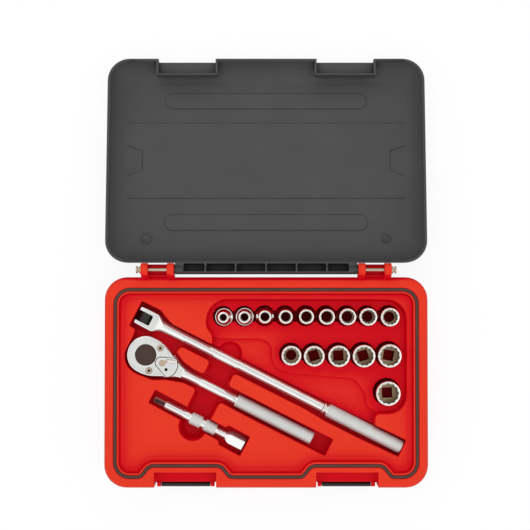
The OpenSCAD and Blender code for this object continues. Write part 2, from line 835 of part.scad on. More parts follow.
module adaptor_square(u, l) {
    translate([u, 0, 0]) rotate([0, 90, 0]) rotate(square_roll) square_bar(l);
}

// Turns the Z axis to point out of the square's hinge-side face, at the ball
module at_adaptor_ball() {
    translate([adaptor_ball_u, 0, 0]) rotate([square_roll - 90, 0, 0]) children();
}

module adaptor_bar() {
    color(chrome) tool_frame(adaptor_at, adaptor_z) difference() {
        union() {
            rotate([0, 90, 0]) rotate(30) cylinder(h = hex_l, r = hex_across / sqrt(3), $fn = 6);
            rod_x(hex_l - lap, ADAPTOR_COLLARS[0][0] + lap, stem_r);
            for (ends = ADAPTOR_COLLARS) rod_x(ends[0], ends[1], collar_r);
            rod_x(ADAPTOR_COLLARS[0][1] - lap, ADAPTOR_COLLARS[1][0] + lap, collar_gap_r);
            rod_x(ADAPTOR_COLLARS[1][1] - lap, flare_from + lap, neck_r);
            intersection() {
                translate([flare_from, 0, 0]) rotate([0, 90, 0]) cylinder(h = flare_l, r1 = neck_r, r2 = flare_r);
                adaptor_square(flare_from, flare_l);
            }
            adaptor_square(flare_from + flare_l - lap / 2, adaptor_l - flare_from - flare_l + lap / 2);
        }
        at_adaptor_ball() cylinder(h = 12, r = ball_hole_r);
    }
}

module adaptor_ball() {
    color("silver") tool_frame(adaptor_at, adaptor_z) at_adaptor_ball()
        translate([0, 0, drive_size / 2 - 1.5]) sphere(2);
}

base_shell();
tool_tray();
socket_deck();
socket_well(ROWS[0]);  // back_well
socket_well(ROWS[1]);  // front_well
socket_well(ROWS[2]);  // corner_well
ratchet_well();
handle_well();
adaptor_well();
finger_well();
rim_gasket();
lid_shell();
hinge_pins();
latch(-1);  // latch_left
latch(1);  // latch_right
latch_pins();
for (i = [0:LAST])
    socket(i);
ratchet_body();
ratchet_cover();
cover_screws();
ratchet_gear();
ratchet_disc();
ratchet_ball();
ratchet_pawl();
reversing_lever();
pawl_plunger();
hinged_handle();
handle_drive();
handle_pin();
handle_ball();
adaptor_bar();
adaptor_ball();
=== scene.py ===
"""Looks of a socket wrench set in its open case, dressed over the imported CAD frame."""

import json
import logging
import math
from dataclasses import dataclass
from enum import Enum

import bmesh
import bpy
from mathutils import Matrix, Vector

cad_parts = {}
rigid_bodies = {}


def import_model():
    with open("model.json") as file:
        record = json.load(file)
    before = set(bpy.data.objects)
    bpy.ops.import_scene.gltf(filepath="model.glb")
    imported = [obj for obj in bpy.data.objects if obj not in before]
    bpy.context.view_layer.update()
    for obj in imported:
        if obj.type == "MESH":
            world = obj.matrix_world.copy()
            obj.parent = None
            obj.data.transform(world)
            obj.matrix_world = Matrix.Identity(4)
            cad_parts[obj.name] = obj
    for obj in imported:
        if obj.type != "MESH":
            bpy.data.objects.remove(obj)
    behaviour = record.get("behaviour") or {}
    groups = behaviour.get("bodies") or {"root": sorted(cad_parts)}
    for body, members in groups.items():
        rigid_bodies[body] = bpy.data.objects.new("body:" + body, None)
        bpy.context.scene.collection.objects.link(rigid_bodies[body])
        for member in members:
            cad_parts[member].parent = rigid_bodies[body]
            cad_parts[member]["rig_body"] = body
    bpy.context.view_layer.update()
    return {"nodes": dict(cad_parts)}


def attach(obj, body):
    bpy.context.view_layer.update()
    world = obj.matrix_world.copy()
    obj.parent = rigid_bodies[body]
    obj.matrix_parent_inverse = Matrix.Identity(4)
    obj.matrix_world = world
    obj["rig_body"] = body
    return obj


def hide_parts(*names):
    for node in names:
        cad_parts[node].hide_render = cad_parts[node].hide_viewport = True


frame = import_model()
LOG = logging.getLogger("socket_set")
MM = 0.001
QUARTER = math.pi / 2
TINY = 1e-6                      # a step in of less than this counts as none
NEARLY = 0.9999                  # share of a corner radius that is cut, so that two of them never meet
STRAIGHT = math.radians(89)      # a corner whose half angle is above this stays as it is
EDGE = math.radians(30)          # an edge that bends by more than this is rounded
CAD_EDGE = math.radians(32)      # the same for the copies of CAD nodes
FLAT = math.radians(0.6)         # faces that differ by less than this become one

Colour = tuple[float, float, float, float]   # linear red, green, blue and 1
Place = tuple[float, float, float]
Plan = list[tuple[float, float, float]]      # corners of an outline: x, y and corner radius
Steps = list[tuple[float, float]]            # how a face walks: inset and rise of each step
Profile = list[tuple[float, float]]          # points to spin: distance along the axis and radius
Level = tuple[float, float, float, float]    # a section: distance, two half sizes and corner radius
NodeLink = bpy.types.NodeSocket
NodeTree = bpy.types.NodeTree
Mesh = bpy.types.Mesh


def shift(x: float = 0.0, y: float = 0.0, z: float = 0.0) -> Matrix:
    """Gives the matrix of a move."""
    return Matrix.Translation((x, y, z))


def turned_by(degrees: float, axis: str) -> Matrix:
    """Gives the matrix of a turn about an axis."""
    return Matrix.Rotation(math.radians(degrees), 4, axis)


# ---------------------------------------------------------------- the set's own measures


@dataclass(frozen=True)
class ToolFrame:
    """A tool's own frame in millimetres: the first number runs along the tool, the second across it."""

    x: float
    y: float
    z: float
    turn: float = 26.8

    def __call__(self, u: float, v: float, radius: float = 0.0) -> Place:
        """Gives a point's place in the case, with the corner radius that an outline has there."""
        cos, sin = math.cos(math.radians(self.turn)), math.sin(math.radians(self.turn))
        return (self.x + u * cos + v * sin, self.y - u * sin + v * cos, radius)

    def matrix(self) -> Matrix:
        """Gives the matrix that carries the tool's frame into the case."""
        return shift(self.x, self.y, self.z) @ turned_by(-self.turn, "Z")


@dataclass(frozen=True)
class Measures:
    """Sizes in millimetres that several pieces share."""

    rim_z: float = 50.0
    ball_hole_r: float = 2.05
    ratchet: ToolFrame = ToolFrame(-145.1, 32.5, 35.0)
    handle: ToolFrame = ToolFrame(-155.4, 81.4, 34.0)
    adaptor: ToolFrame = ToolFrame(-135.2, -21.2, 35.5)
    adaptor_pocket: ToolFrame = ToolFrame(-135.2, -21.2, 0.0, 28.4)
    first_size: int = 8
    sockets: tuple[Place, ...] = (           # x, y and turn of each socket, the smallest first
        (-51.5, 77.7, 20), (-26.1, 78, 5), (-1.4, 78.4, 33), (23.6, 78.4, 12), (48.5, 78.6, 40),
        (73.1, 78.4, 25), (98.1, 78.4, 8), (122.8, 78.4, 35), (149.1, 78, 15), (30.3, 31.9, 28),
        (57.8, 31.2, 18), (87.6, 31.1, 3), (117.6, 31.2, 17), (148.6, 31.5, 79), (146.7, -13.7, 3))

    def sized(self) -> list[tuple[int, Place]]:
        """Gives each socket's size and place."""
        return list(enumerate(self.sockets, self.first_size))

    def nose_radius(self, size: int) -> float:
        """Gives the radius of a socket's nose."""
        return (5.2 + 1.13 * size) / 2

    def body_radius(self, size: int) -> float:
        """Gives the radius of a socket's drive end."""
        return max(11.0, self.nose_radius(size))


SET = Measures()


# ---------------------------------------------------------------- materials


class Surface(Enum):
    """The finishes that a piece can take, with the names of their materials."""

    RED_TRAY = "red_tray"
    GREY_LID = "grey_lid"
    BLACK_LATCH = "black_latch"
    SEAL = "seal"
    CHROME = "chrome"
    SATIN_CHROME = "satin_chrome"
    PLAIN_STEEL = "plain_steel"
    BLACK_STEEL = "black_steel"
    DARK_PLATE = "dark_plate"
    SOCKET = "socket_plate"
    SOCKET_BORE = "socket_bore"
    # dark steel that paints shade into holes and grooves
    SHADED_BORE = "bore"


class NodeDesk:
    """A short way to add and join the nodes of one tree."""

    def __init__(self, tree: NodeTree) -> None:
        """Starts on an empty tree."""
        self.tree = tree
        tree.nodes.clear()

    def add(self, kind: str, settings: dict | None = None, **inputs: object) -> bpy.types.Node:
        """Adds a node.

        Args:
            kind: Blender's name for the node, without ShaderNode in front.
            settings: Values of the node's own properties.
            inputs: Values, or output sockets to join, by input name with _ for a space, or by i and a number.

        Returns:
            The new node.
        """
        node = self.tree.nodes.new(kind if kind.startswith("NodeGroup") else "ShaderNode" + kind)
        for key, value in (settings or {}).items():
            setattr(node, key, value)
        for key, value in inputs.items():
            numbered = key[0] == "i" and key[1:].isdigit()
            socket = node.inputs[int(key[1:]) if numbered else key.replace("_", " ")]
            if isinstance(value, bpy.types.NodeSocket):
                self.tree.links.new(value, socket)
            else:
                socket.default_value = value
        return node

    def math(self, operation: str, a: object, b: object, c: object = 0.5) -> NodeLink:
        """Adds a Math node and returns its output."""
        return self.add("Math", {"operation": operation}, i0=a, i1=b, i2=c).outputs[0]

    def remap(self, value: NodeLink, low: object, high: object, start: float = 0, end: float = 1) -> NodeLink:
        """Adds a clamped Map Range node and returns its output."""
        return self.add("MapRange", {}, i0=value, i1=low, i2=high, i3=start, i4=end).outputs[0]

    def mix(self, factor: object, a: object, b: object) -> NodeLink:
        """Adds a colour Mix node and returns its output."""
        return self.add("Mix", {"data_type": "RGBA"}, i0=factor, i6=a, i7=b).outputs[2]

    def noise(self, place: NodeLink, scale: NodeLink, detail: float, roughness: float = 0.5) -> NodeLink:
        """Adds a Noise Texture node and returns its value."""
        node = self.add("TexNoise", {}, Vector=place, Scale=scale, Detail=detail, Roughness=roughness)
        return node.outputs[0]

    def bump(self, height: NodeLink, strength: float, depth: float) -> NodeLink:
        """Adds a Bump node and returns its normal."""
        return self.add("Bump", {}, Height=height, Strength=strength, Distance=depth).outputs[0]

    def group(self, tree: NodeTree, **inputs: object) -> bpy.types.bpy_prop_collection:
        """Adds a shared node group and returns its outputs."""
        return self.add("Group", {"node_tree": tree}, **inputs).outputs

    def results(self, **masks: NodeLink) -> NodeTree:
        """Ends a node group: each result becomes an output of its name.

        Args:
            masks: The results and the outputs that give them.

        Returns:
            The group's tree.
        """
        for key in masks:
            self.tree.interface.new_socket(key, in_out="OUTPUT", socket_type="NodeSocketFloat")
        self.add("NodeGroupOutput", {}, **masks)
        return self.tree


def new_group(name: str, **inputs: float) -> tuple[NodeDesk, bpy.types.bpy_prop_collection]:
    """Makes an empty shader node group.

    Args:
        name: Name of the group.
        inputs: Name, with _ for a space, and starting value of each number that goes in.

    Returns:
        The desk for the group's tree and the sockets that give its numbers.
    """
    tree = bpy.data.node_groups.new(name, "ShaderNodeTree")
    for key, value in inputs.items():
        title = key.replace("_", " ")
        tree.interface.new_socket(title, in_out="INPUT", socket_type="NodeSocketFloat").default_value = value
    desk = NodeDesk(tree)
    return desk, desk.add("NodeGroupInput").outputs


def grain_group() -> NodeTree:
    """Moulded plastic's fine grain, with a slow mottle under it.

    Returns:
        A group that gives the grain's Height and a Mottle from 0 to 1.
    """
    desk, given = new_group("moulded_grain", Grain_Scale=900.0, Mottle_Scale=25.0)
    place = desk.add("TexCoord").outputs["Object"]
    fine = desk.noise(place, given["Grain Scale"], 2.0)
    slow = desk.noise(place, given["Mottle Scale"], 4.0)
    return desk.results(Height=fine, Mottle=desk.remap(slow, 0.3, 0.7))


def handling_group() -> NodeTree:
    """Faint smears and hairline scratches left by handling.

    Returns:
        A group that gives a Smear mask from 0 to 1 and a scratch Height.
    """
    desk, given = new_group("handling", Smear_Scale=40.0, Scratch_Scale=260.0)
    place = desk.add("TexCoord").outputs["Object"]
    smear = desk.noise(place, given["Smear Scale"], 5.0, 0.6)
    stretched = desk.add("Mapping", {}, Vector=place, Rotation=(0.3, 0.2, 0.7), Scale=(1.0, 0.06, 0.3))
    lines = desk.noise(stretched.outputs[0], given["Scratch Scale"], 3.0)
    return desk.results(Smear=desk.remap(smear, 0.35, 0.7), Height=desk.remap(lines, 0.55, 0.7))


def edge_light_group() -> NodeTree:
    """Finds convex edges, for the painted highlight along them, and on the lid a painted dark outline of
    shade.

    Returns:
        A group that gives a Mask from 0 on flats to 1 on edges.
    """
    desk, given = new_group("painted_edge_light", Low=0.52, High=0.62)
    point = desk.add("NewGeometry").outputs["Pointiness"]
    return desk.results(Mask=desk.remap(point, given["Low"], given["High"]))


def hollow_shade_group() -> NodeTree:
    """Finds hollows and the feet of walls by ambient occlusion, for the shade painted into a colour there.

    Returns:
        A group that gives a Mask of painted shade, from 0 in the open to 1 in a deep hollow.
    """
    desk, given = new_group("hollows", Reach=0.05, Open=0.985, Deep=0.85)
    # The occlusion paints shade into the colour; it is not a colour of the material.
    open_sky = desk.add("AmbientOcclusion", {"samples": 12}, Distance=given["Reach"]).outputs["AO"]
    return desk.results(Mask=desk.remap(open_sky, given["Open"], given["Deep"]))


@dataclass(frozen=True)
class Groups:
    """The node groups that the finishes share."""

    grain: NodeTree
    handling: NodeTree
    # edge paints highlights on convex edges, and on the lid a dark outline of shade; hollow paints shade in
    # hollows
    edge: NodeTree
    hollow: NodeTree


def linear(red: int, green: int, blue: int) -> Colour:
    """Turns an 8-bit display colour into the linear colour that a shader takes."""
    shares = [value / 255 for value in (red, green, blue)]
    return *(one / 12.92 if one <= 0.04045 else ((one + 0.055) / 1.055) ** 2.4 for one in shares), 1.0


def new_material(name: str) -> tuple[bpy.types.Material, NodeDesk]:
    """Makes a material with an empty tree.

    Args:
        name: The material's name.

    Returns:
        The material and the desk for its tree.
    """
    material = bpy.data.materials.new(name)
    material.use_nodes = True
    return material, NodeDesk(material.node_tree)


@dataclass(frozen=True)
class PlasticFinish:
    """Moulded plastic: grain, a slow mottle, painted light or shade on its edges and painted shade in its
    hollows.
    """

    colour: Colour
    mottled: Colour
    # edge: colour painted on convex edges, lighter as a highlight or darker as shade; hollow: shade painted
    # into hollows
    edge: Colour
    hollow: Colour
    roughness: float
    grain_scale: float
    grain_depth: float
    specular: float = 0.4
    # reach, open and deep set where the painted shade of hollow falls
    reach: float = 0.05
    open: float = 0.985
    deep: float = 0.84
    edge_light_share: float = 0.5
    smear_roughness: float = 0.08
    bump: float = 0.35

    def build(self, name: str, groups: Groups) -> bpy.types.Material:
        """Makes the material.

        Args:
            name: The material's name.
            groups: The shared node groups.

        Returns:
            The finished material.
        """
        material, desk = new_material(name)
        grain = desk.group(groups.grain, Grain_Scale=self.grain_scale)
        smear = desk.group(groups.handling)["Smear"]
        # painted edge light, then painted shade in hollows from the occlusion
        edge = desk.math("MULTIPLY", desk.group(groups.edge)["Mask"], self.edge_light_share)
        hollow = desk.group(groups.hollow, Reach=self.reach, Open=self.open, Deep=self.deep)["Mask"]
        base = desk.mix(grain["Mottle"], self.colour, self.mottled)
        colour = desk.mix(hollow, desk.mix(edge, base, self.edge), self.hollow)
        rough = desk.remap(smear, 0.0, 1.0, self.roughness, self.roughness + self.smear_roughness)
        shader = desk.add("BsdfPrincipled", {}, Base_Color=colour, Roughness=rough,
                          Specular_IOR_Level=self.specular,
                          Normal=desk.bump(grain["Height"], self.bump, self.grain_depth))
        desk.add("OutputMaterial", {}, Surface=shader.outputs[0])
        return material


@dataclass(frozen=True)
class SteelFinish:
    """Metal: plated, turned or blackened, with smears and hairline scratches."""

    colour: Colour
    smeared: Colour
    roughness: float
    smear_roughness: float
    scratch_depth: float
    metallic: float = 1.0
    bump: float = 0.2

    def build(self, name: str, groups: Groups) -> bpy.types.Material:
        """Makes the material.

        Args:
            name: The material's name.
            groups: The shared node groups.

        Returns:
            The finished material.
        """
        material, desk = new_material(name)
        marks = desk.group(groups.handling)
        colour = desk.mix(marks["Smear"], self.colour, self.smeared)
        rough = desk.remap(marks["Smear"], 0.0, 1.0, self.roughness, self.smear_roughness)
        shader = desk.add("BsdfPrincipled", {}, Base_Color=colour, Roughness=rough, Metallic=self.metallic,
                          Normal=desk.bump(marks["Height"], self.bump, self.scratch_depth))
        desk.add("OutputMaterial", {}, Surface=shader.outputs[0])
        return material


RECIPES: dict[Surface, PlasticFinish | SteelFinish] = {
    # The lighter edge colour is a painted highlight; the deep crimson hollow colour is painted shade.
    Surface.RED_TRAY: PlasticFinish(
        (0.735, 0.038, 0.015, 1), (0.71, 0.034, 0.014, 1), (0.82, 0.05, 0.026, 1), (0.63, 0.0, 0.008, 1),
        roughness=0.42, grain_scale=1500.0, grain_depth=0.05 * MM, specular=0.08),
    # The darker edge colour is a painted outline of shade; the hollow colour paints shade into windows and
    # recesses.
    Surface.GREY_LID: PlasticFinish(
        linear(73, 73, 73), linear(70, 70, 70), linear(24, 24, 24), linear(30, 30, 30),
        roughness=0.55, grain_scale=1300.0, grain_depth=0.08 * MM, specular=0.2,
        reach=0.02, open=0.8, deep=0.25),
    # The lighter edge colour is a painted highlight; the hollow colour is painted shade.
    Surface.BLACK_LATCH: PlasticFinish(
        linear(22, 21, 21), linear(26, 25, 25), linear(48, 47, 46), linear(14, 13, 13),
        roughness=0.4, grain_scale=1500.0, grain_depth=0.04 * MM),
    # The lighter edge colour is a painted highlight; the hollow colour is painted shade.
    Surface.SEAL: PlasticFinish(
        linear(82, 58, 52), linear(76, 54, 48), linear(92, 70, 64), linear(56, 30, 28),
        roughness=0.7, grain_scale=1800.0, grain_depth=0.05 * MM, specular=0.2,
        reach=0.01, open=0.9, deep=0.4),
    Surface.CHROME: SteelFinish(linear(236, 237, 235), linear(226, 227, 225), 0.06, 0.11, 0.01 * MM, 0.8),
    Surface.SATIN_CHROME: SteelFinish(
        linear(204, 205, 202), linear(196, 197, 194), 0.45, 0.55, 0.02 * MM, 0.3),
    Surface.PLAIN_STEEL: SteelFinish(linear(196, 180, 160), linear(180, 162, 140), 0.3, 0.42, 0.02 * MM),
    Surface.BLACK_STEEL: SteelFinish(linear(34, 32, 32), linear(48, 44, 42), 0.38, 0.5, 0.02 * MM, 0.6),
    Surface.DARK_PLATE: SteelFinish(linear(74, 56, 50), linear(64, 48, 44), 0.45, 0.55, 0.02 * MM, 0.7),
    Surface.SOCKET: SteelFinish(linear(246, 246, 242), linear(232, 232, 226), 0.12, 0.2, 0.01 * MM),
    Surface.SOCKET_BORE: SteelFinish(linear(150, 132, 108), linear(122, 104, 84), 0.26, 0.36, 0.02 * MM),
    # Dark steel painted into holes, grooves and hexagon sockets as shade.
    Surface.SHADED_BORE: SteelFinish(linear(40, 32, 28), linear(30, 25, 22), 0.5, 0.6, 0.02 * MM, 0.7),
}


def finishes() -> dict[Surface, bpy.types.Material]:
    """Builds every finish and gives the material of each surface."""
    groups = Groups(grain_group(), handling_group(), edge_light_group(), hollow_shade_group())
    return {surface: recipe.build(surface.value, groups) for surface, recipe in RECIPES.items()}


# ---------------------------------------------------------------- making shapes, in millimetres


def curve(inset: float, rise: float, count: int, from_flat: bool = False) -> Steps:
    """Walks a face round a quarter ellipse.

    Args:
        inset: How far it goes in.
        rise: How far it goes up, or down where negative.
        count: Number of steps.
        from_flat: Whether it leaves a flat and ends upright, or the other way round.

    Returns:
        The steps.
    """
    steps = []
    for k in range(count):
        a, b = k * QUARTER / count, (k + 1) * QUARTER / count
        sines, cosines = math.sin(b) - math.sin(a), math.cos(a) - math.cos(b)
        steps.append((inset * sines, rise * cosines) if from_flat else (inset * cosines, rise * sines))
    return steps


def roundover(radius: float, count: int = 4) -> Steps:
    """Walks from a flat down into a wall, round a convex quarter circle."""
    return curve(radius, -radius, count, from_flat=True)


def foot(radius: float, count: int = 3) -> Steps:
    """Walks from a wall into a floor below it, round a quarter circle."""
    return curve(radius, -radius, count)


def crown(radius: float, count: int = 3) -> Steps:
    """Walks from a wall onto a flat top, round a quarter circle."""
    return curve(radius, radius, count)


def eased(plan: Plan, least: float) -> Plan:
    """Widens an outline's round outer corners, so that a walk inward doesn't cross itself.

    Args:
        plan: The outline.
        least: The least radius of an outer corner that is round.

    Returns:
        The outline with wider corners.
    """
    area = sum(a[0] * b[1] - b[0] * a[1] for a, b in zip(plan, plan[1:] + plan[:1]))
    wide = []
    for index, (x, y, radius) in enumerate(plan):
        (ax, ay, _), (bx, by, _) = plan[index - 1], plan[(index + 1) % len(plan)]
        outer = ((x - ax) * (by - y) - (y - ay) * (bx - x)) * area > 0
        wide.append((x, y, max(radius, least) if outer and radius > 0 else radius))
    return wide


def mirrored(half: Plan) -> Plan:
    """Adds the other half to an outline that is the same on both sides of the Y axis."""
    return half + [(-x, y, radius) for x, y, radius in reversed(half)]


def both_sides(half: Plan) -> Plan:
    """Closes an outline that is the same on both sides of the tool's length."""
    return half[::-1] + [(u, -v, radius) for u, v, radius in half]


def box_plan(low: tuple[float, float], high: tuple[float, float], radius: float = 0.0) -> Plan:
    """Gives a rectangle's outline."""
    return [(x, y, radius) for x, y in (low, (high[0], low[1]), high, (low[0], high[1]))]


class Form:
    """A solid under construction: one face that walks, leaving walls behind it."""

    def __init__(self) -> None:
        """Starts empty."""
        self.bm = bmesh.new()

    @classmethod
    def polygon(cls, plan: Plan, z: float, corner_steps: int = 5) -> "Form":
        """Starts from an outline with round corners.

        Args:
            plan: The outline's corners.
            z: Its height.
            corner_steps: Number of edges round each corner.

        Returns:
            The form, with one flat face.
        """
        form = cls()
        corners = [form.bm.verts.new((x, y, z)) for x, y, _ in plan]
        form.bm.faces.new(corners)
        for index, corner in enumerate(corners):
            x, y, radius = plan[index]
            here = Vector((x, y))
            back = (Vector(plan[index - 1][:2]) - here).normalized()
            on = (Vector(plan[(index + 1) % len(plan)][:2]) - here).normalized()
            half = back.angle(on) / 2
            if radius > 0 and half <= STRAIGHT:
                form.round_corners([corner], radius / math.tan(half), corner_steps)
        return form

    def round_corners(self, corners: list[bmesh.types.BMVert], offset: float, steps: int) -> None:
        """Rounds flat corners from an offset along their edges."""
        bmesh.ops.bevel(self.bm, geom=corners, offset=offset, offset_type="OFFSET", affect="VERTICES",
                        segments=steps, profile=0.5, material=-1, clamp_overlap=False)

    @classmethod
    def disc(cls, x: float, y: float, z: float, radius: float, segments: int = 48) -> "Form":
        """Starts from a flat disc.

        Args:
            x: X of its middle.
            y: Y of its middle.
            z: Its height.
            radius: Its radius.
            segments: Number of edges round it.

        Returns:
            The form, with one flat face.
        """
        form = cls()
        bmesh.ops.create_circle(form.bm, cap_ends=True, radius=radius, segments=segments,
                                matrix=shift(x, y, z))
        return form

    def walk(self, steps: Steps, under: Steps | None = None) -> "Form":
        """Walks the face through insets and rises, and closes the start.

        Args:
            steps: Inset and rise of each step.
            under: Steps that the closing face walks in its turn.

        Returns:
            The same form, now a closed solid.
        """
        bm = self.bm
        bm.faces.ensure_lookup_table()
        face = bm.faces[0]
        for walk in (steps, under or []):
            for inset, rise in walk:
                if inset > TINY:
                    bmesh.ops.inset_individual(bm, faces=[face], thickness=inset, use_even_offset=True)
                else:
                    face = bmesh.ops.extrude_discrete_faces(bm, faces=[face])["faces"][0]
                bmesh.ops.translate(bm, verts=face.verts, vec=(0.0, 0.0, rise))
            closing = [edge for edge in bm.edges if edge.is_boundary]
            if closing:
                face = bmesh.ops.holes_fill(bm, edges=closing)["faces"][0]
                bmesh.ops.recalc_face_normals(bm, faces=bm.faces)
        return self

    @classmethod
    def turned(cls, profile: Profile, segments: int = 48) -> "Form":
        """Spins a profile about the X axis.

        Args:
            profile: The points; both ends lie on the axis.
            segments: Number of steps round.

        Returns:
            The closed form.
        """
        form = cls()
        bm = form.bm
        chain = [bm.verts.new((u, 0.0, r)) for u, r in profile]
        edges = [bm.edges.new(pair) for pair in zip(chain, chain[1:])]
        bmesh.ops.spin(bm, geom=chain + edges, cent=(0, 0, 0), axis=(1, 0, 0), angle=math.tau,
                       steps=segments, use_merge=True, use_duplicate=False)
        bmesh.ops.remove_doubles(bm, verts=bm.verts, dist=1e-4)
        bmesh.ops.recalc_face_normals(bm, faces=bm.faces)
        return form

    @classmethod
    def upright(cls, profile: Profile, segments: int = 48) -> "Form":
        """Spins a profile about the Z axis; its points are height and radius."""
        return cls.turned(profile, segments).moved(turned_by(-90, "Y"))

    @classmethod
    def rod(cls, start: float, end: float, radius: float, segments: int = 32) -> "Form":
        """Makes a plain rod along the X axis."""
        return cls.turned([(start, 0), (start, radius), (end, radius), (end, 0)], segments)

    @classmethod
    def pin(cls, half: float, radius: float, cut: float, slope: float, segments: int = 48) -> "Form":
        """Makes a rod along the X axis with both ends chamfered.

        Args:
            half: Half its length.
            radius: Its radius.
            cut: How far the chamfer goes in from the radius.
            slope: How far it goes along the rod.
            segments: Number of steps round.

        Returns:
            The closed form.
        """
        end = [(half - slope, radius), (half, radius - cut), (half, 0)]
        return cls.turned([(-u, r) for u, r in reversed(end)] + end, segments)

    @classmethod
    def sections(cls, stations: list[Level], corner_steps: int = 6) -> "Form":
        """Joins upright rounded rectangles that stand along the X axis.

        Args:
            stations: Distance along the axis, half width, half height and corner radius of each section.
            corner_steps: Number of edges round each corner.

        Returns:
            The closed form.
        """
        form = cls()
        bm = form.bm
        rings: list[list[bmesh.types.BMEdge]] = []
        for u, half_v, half_z, radius in stations:
            signs = ((-1, -1), (1, -1), (1, 1), (-1, 1))
            corners = [bm.verts.new((u, v * half_v, z * half_z)) for v, z in signs]
            bm.faces.new(corners)
            form.round_corners(corners, radius * NEARLY, corner_steps)
            face = max(bm.faces, key=lambda one: one.calc_center_median().x)
            rings.append(list(face.edges))
        inner = sorted(bm.faces, key=lambda one: one.calc_center_median().x)[1:-1]
        bmesh.ops.delete(bm, geom=inner, context="FACES_ONLY")
        for low, high in zip(rings, rings[1:]):
            bmesh.ops.bridge_loops(bm, edges=low + high)
        bmesh.ops.recalc_face_normals(bm, faces=bm.faces)
        return form

    @classmethod
    def lofted(cls, levels: list[Level], corner_steps: int = 8) -> "Form":
        """Joins level rounded rectangles; a level is height, half length, half width and corner radius."""
        upwards = Matrix(((0, 1, 0, 0), (0, 0, 1, 0), (1, 0, 0, 0), (0, 0, 0, 1)))
        return cls.sections(levels, corner_steps).moved(upwards)

    @classmethod
    def of(cls, mesh: Mesh) -> "Form":
        """Takes a finished mesh back as a form, and removes the mesh.

        Args:
            mesh: The mesh, in millimetres.

        Returns:
            The form.
        """
        form = cls()
        form.bm.from_mesh(mesh)
        bpy.data.meshes.remove(mesh)
        return form

    @classmethod
    def block(cls, low: Place, high: Place) -> "Form":
        """Starts from a box between two corners.

        Args:
            low: The corner with the least coordinates.
            high: The opposite corner.

        Returns:
            The form.
        """
        form = cls()
        size = Vector(high) - Vector(low)
        middle = (Vector(high) + Vector(low)) / 2
        bmesh.ops.create_cube(form.bm, size=1.0, matrix=shift(*middle) @ Matrix.Diagonal((*size, 1.0)))
        return form

    def softened(self, width: float, segments: int = 3) -> "Form":
        """Rounds every edge that is sharper than 30 degrees.

        Args:
            width: Width of the rounding.
            segments: Number of steps in it.

        Returns:
            The same form.
        """
        sharp = [edge for edge in self.bm.edges if edge.calc_face_angle(0.0) > EDGE]
        bmesh.ops.bevel(self.bm, geom=sharp, offset=width, offset_type="OFFSET", affect="EDGES",
                        segments=segments, profile=0.5, material=-1, clamp_overlap=True)
        return self

    def moved(self, matrix: Matrix) -> "Form":
        """Moves the form by a matrix in millimetres."""
        bmesh.ops.transform(self.bm, matrix=matrix, verts=self.bm.verts)
        return self

    def tinted(self, index: int, least_up: float = -2.0) -> "Form":
        """Gives a material index to every face, or to those whose normal points up by more than a share.

        Args:
            index: The material index.
            least_up: How far up a face's normal points, from -1 to 1, before the face takes it.

        Returns:
            The same form.
        """
        self.bm.normal_update()
        for face in self.bm.faces:
            if face.normal.z > least_up:
                face.material_index = index
        return self

    def faceted(self) -> "Form":
        """Splits every face of more than four corners, so that no face has to hold a hole after a cut.

        Returns:
            The same form.
        """
        wide = [face for face in self.bm.faces if len(face.verts) > 4]
        bmesh.ops.triangulate(self.bm, faces=wide, quad_method="BEAUTY", ngon_method="BEAUTY")
        return self

    def mesh(self, name: str) -> Mesh:
        """Ends the making and gives the mesh, still in millimetres.

        Args:
            name: Name of the mesh.

        Returns:
            The mesh; the form is used up.
        """
        mesh = bpy.data.meshes.new(name)
        self.bm.to_mesh(mesh)
        self.bm.free()
        return mesh


def combined(name: str, base: Form | Mesh, operation: str, others: list[Form]) -> Mesh:
    """Cuts forms out of a base, or joins them to it, one after another.

    Args:
        name: Name of the new mesh.
        base: The form or mesh to start from.
        operation: DIFFERENCE or UNION.
        others: The forms that cut or join.

    Returns:
        The new mesh, in millimetres, with a blank slot for each material index.
    """
    scene = bpy.context.scene.collection
    start = base.faceted().mesh(name + "_start") if isinstance(base, Form) else base
    used = [face.material_index for form in others for face in form.bm.faces]
    names = [f"blank_{k}" for k in range(max(len(start.materials), 1 + max(used)))]
    blank = [bpy.data.materials.get(one) or bpy.data.materials.new(one) for one in names]
    for one in blank[len(start.materials):]:
        start.materials.append(one)
    body = bpy.data.objects.new(name + "_start", start)
    scene.objects.link(body)
    spares = []
    for index, form in enumerate(others):
        mesh = form.faceted().mesh(f"{name}_other_{index}")
        for one in blank:
            mesh.materials.append(one)
        spare = bpy.data.objects.new(mesh.name, mesh)
        scene.objects.link(spare)
        spares.append(spare)
        step = body.modifiers.new(f"step_{index}", "BOOLEAN")
        step.operation = operation
        step.solver = "MANIFOLD"
        step.object = spare
        step.material_mode = "INDEX"
    made = bpy.data.meshes.new_from_object(body.evaluated_get(bpy.context.evaluated_depsgraph_get()))
    made.name = name
    for item in [body, *spares]:
        spare_mesh = item.data
        bpy.data.objects.remove(item)
        bpy.data.meshes.remove(spare_mesh)
    return made


# ---------------------------------------------------------------- pieces on their bodies


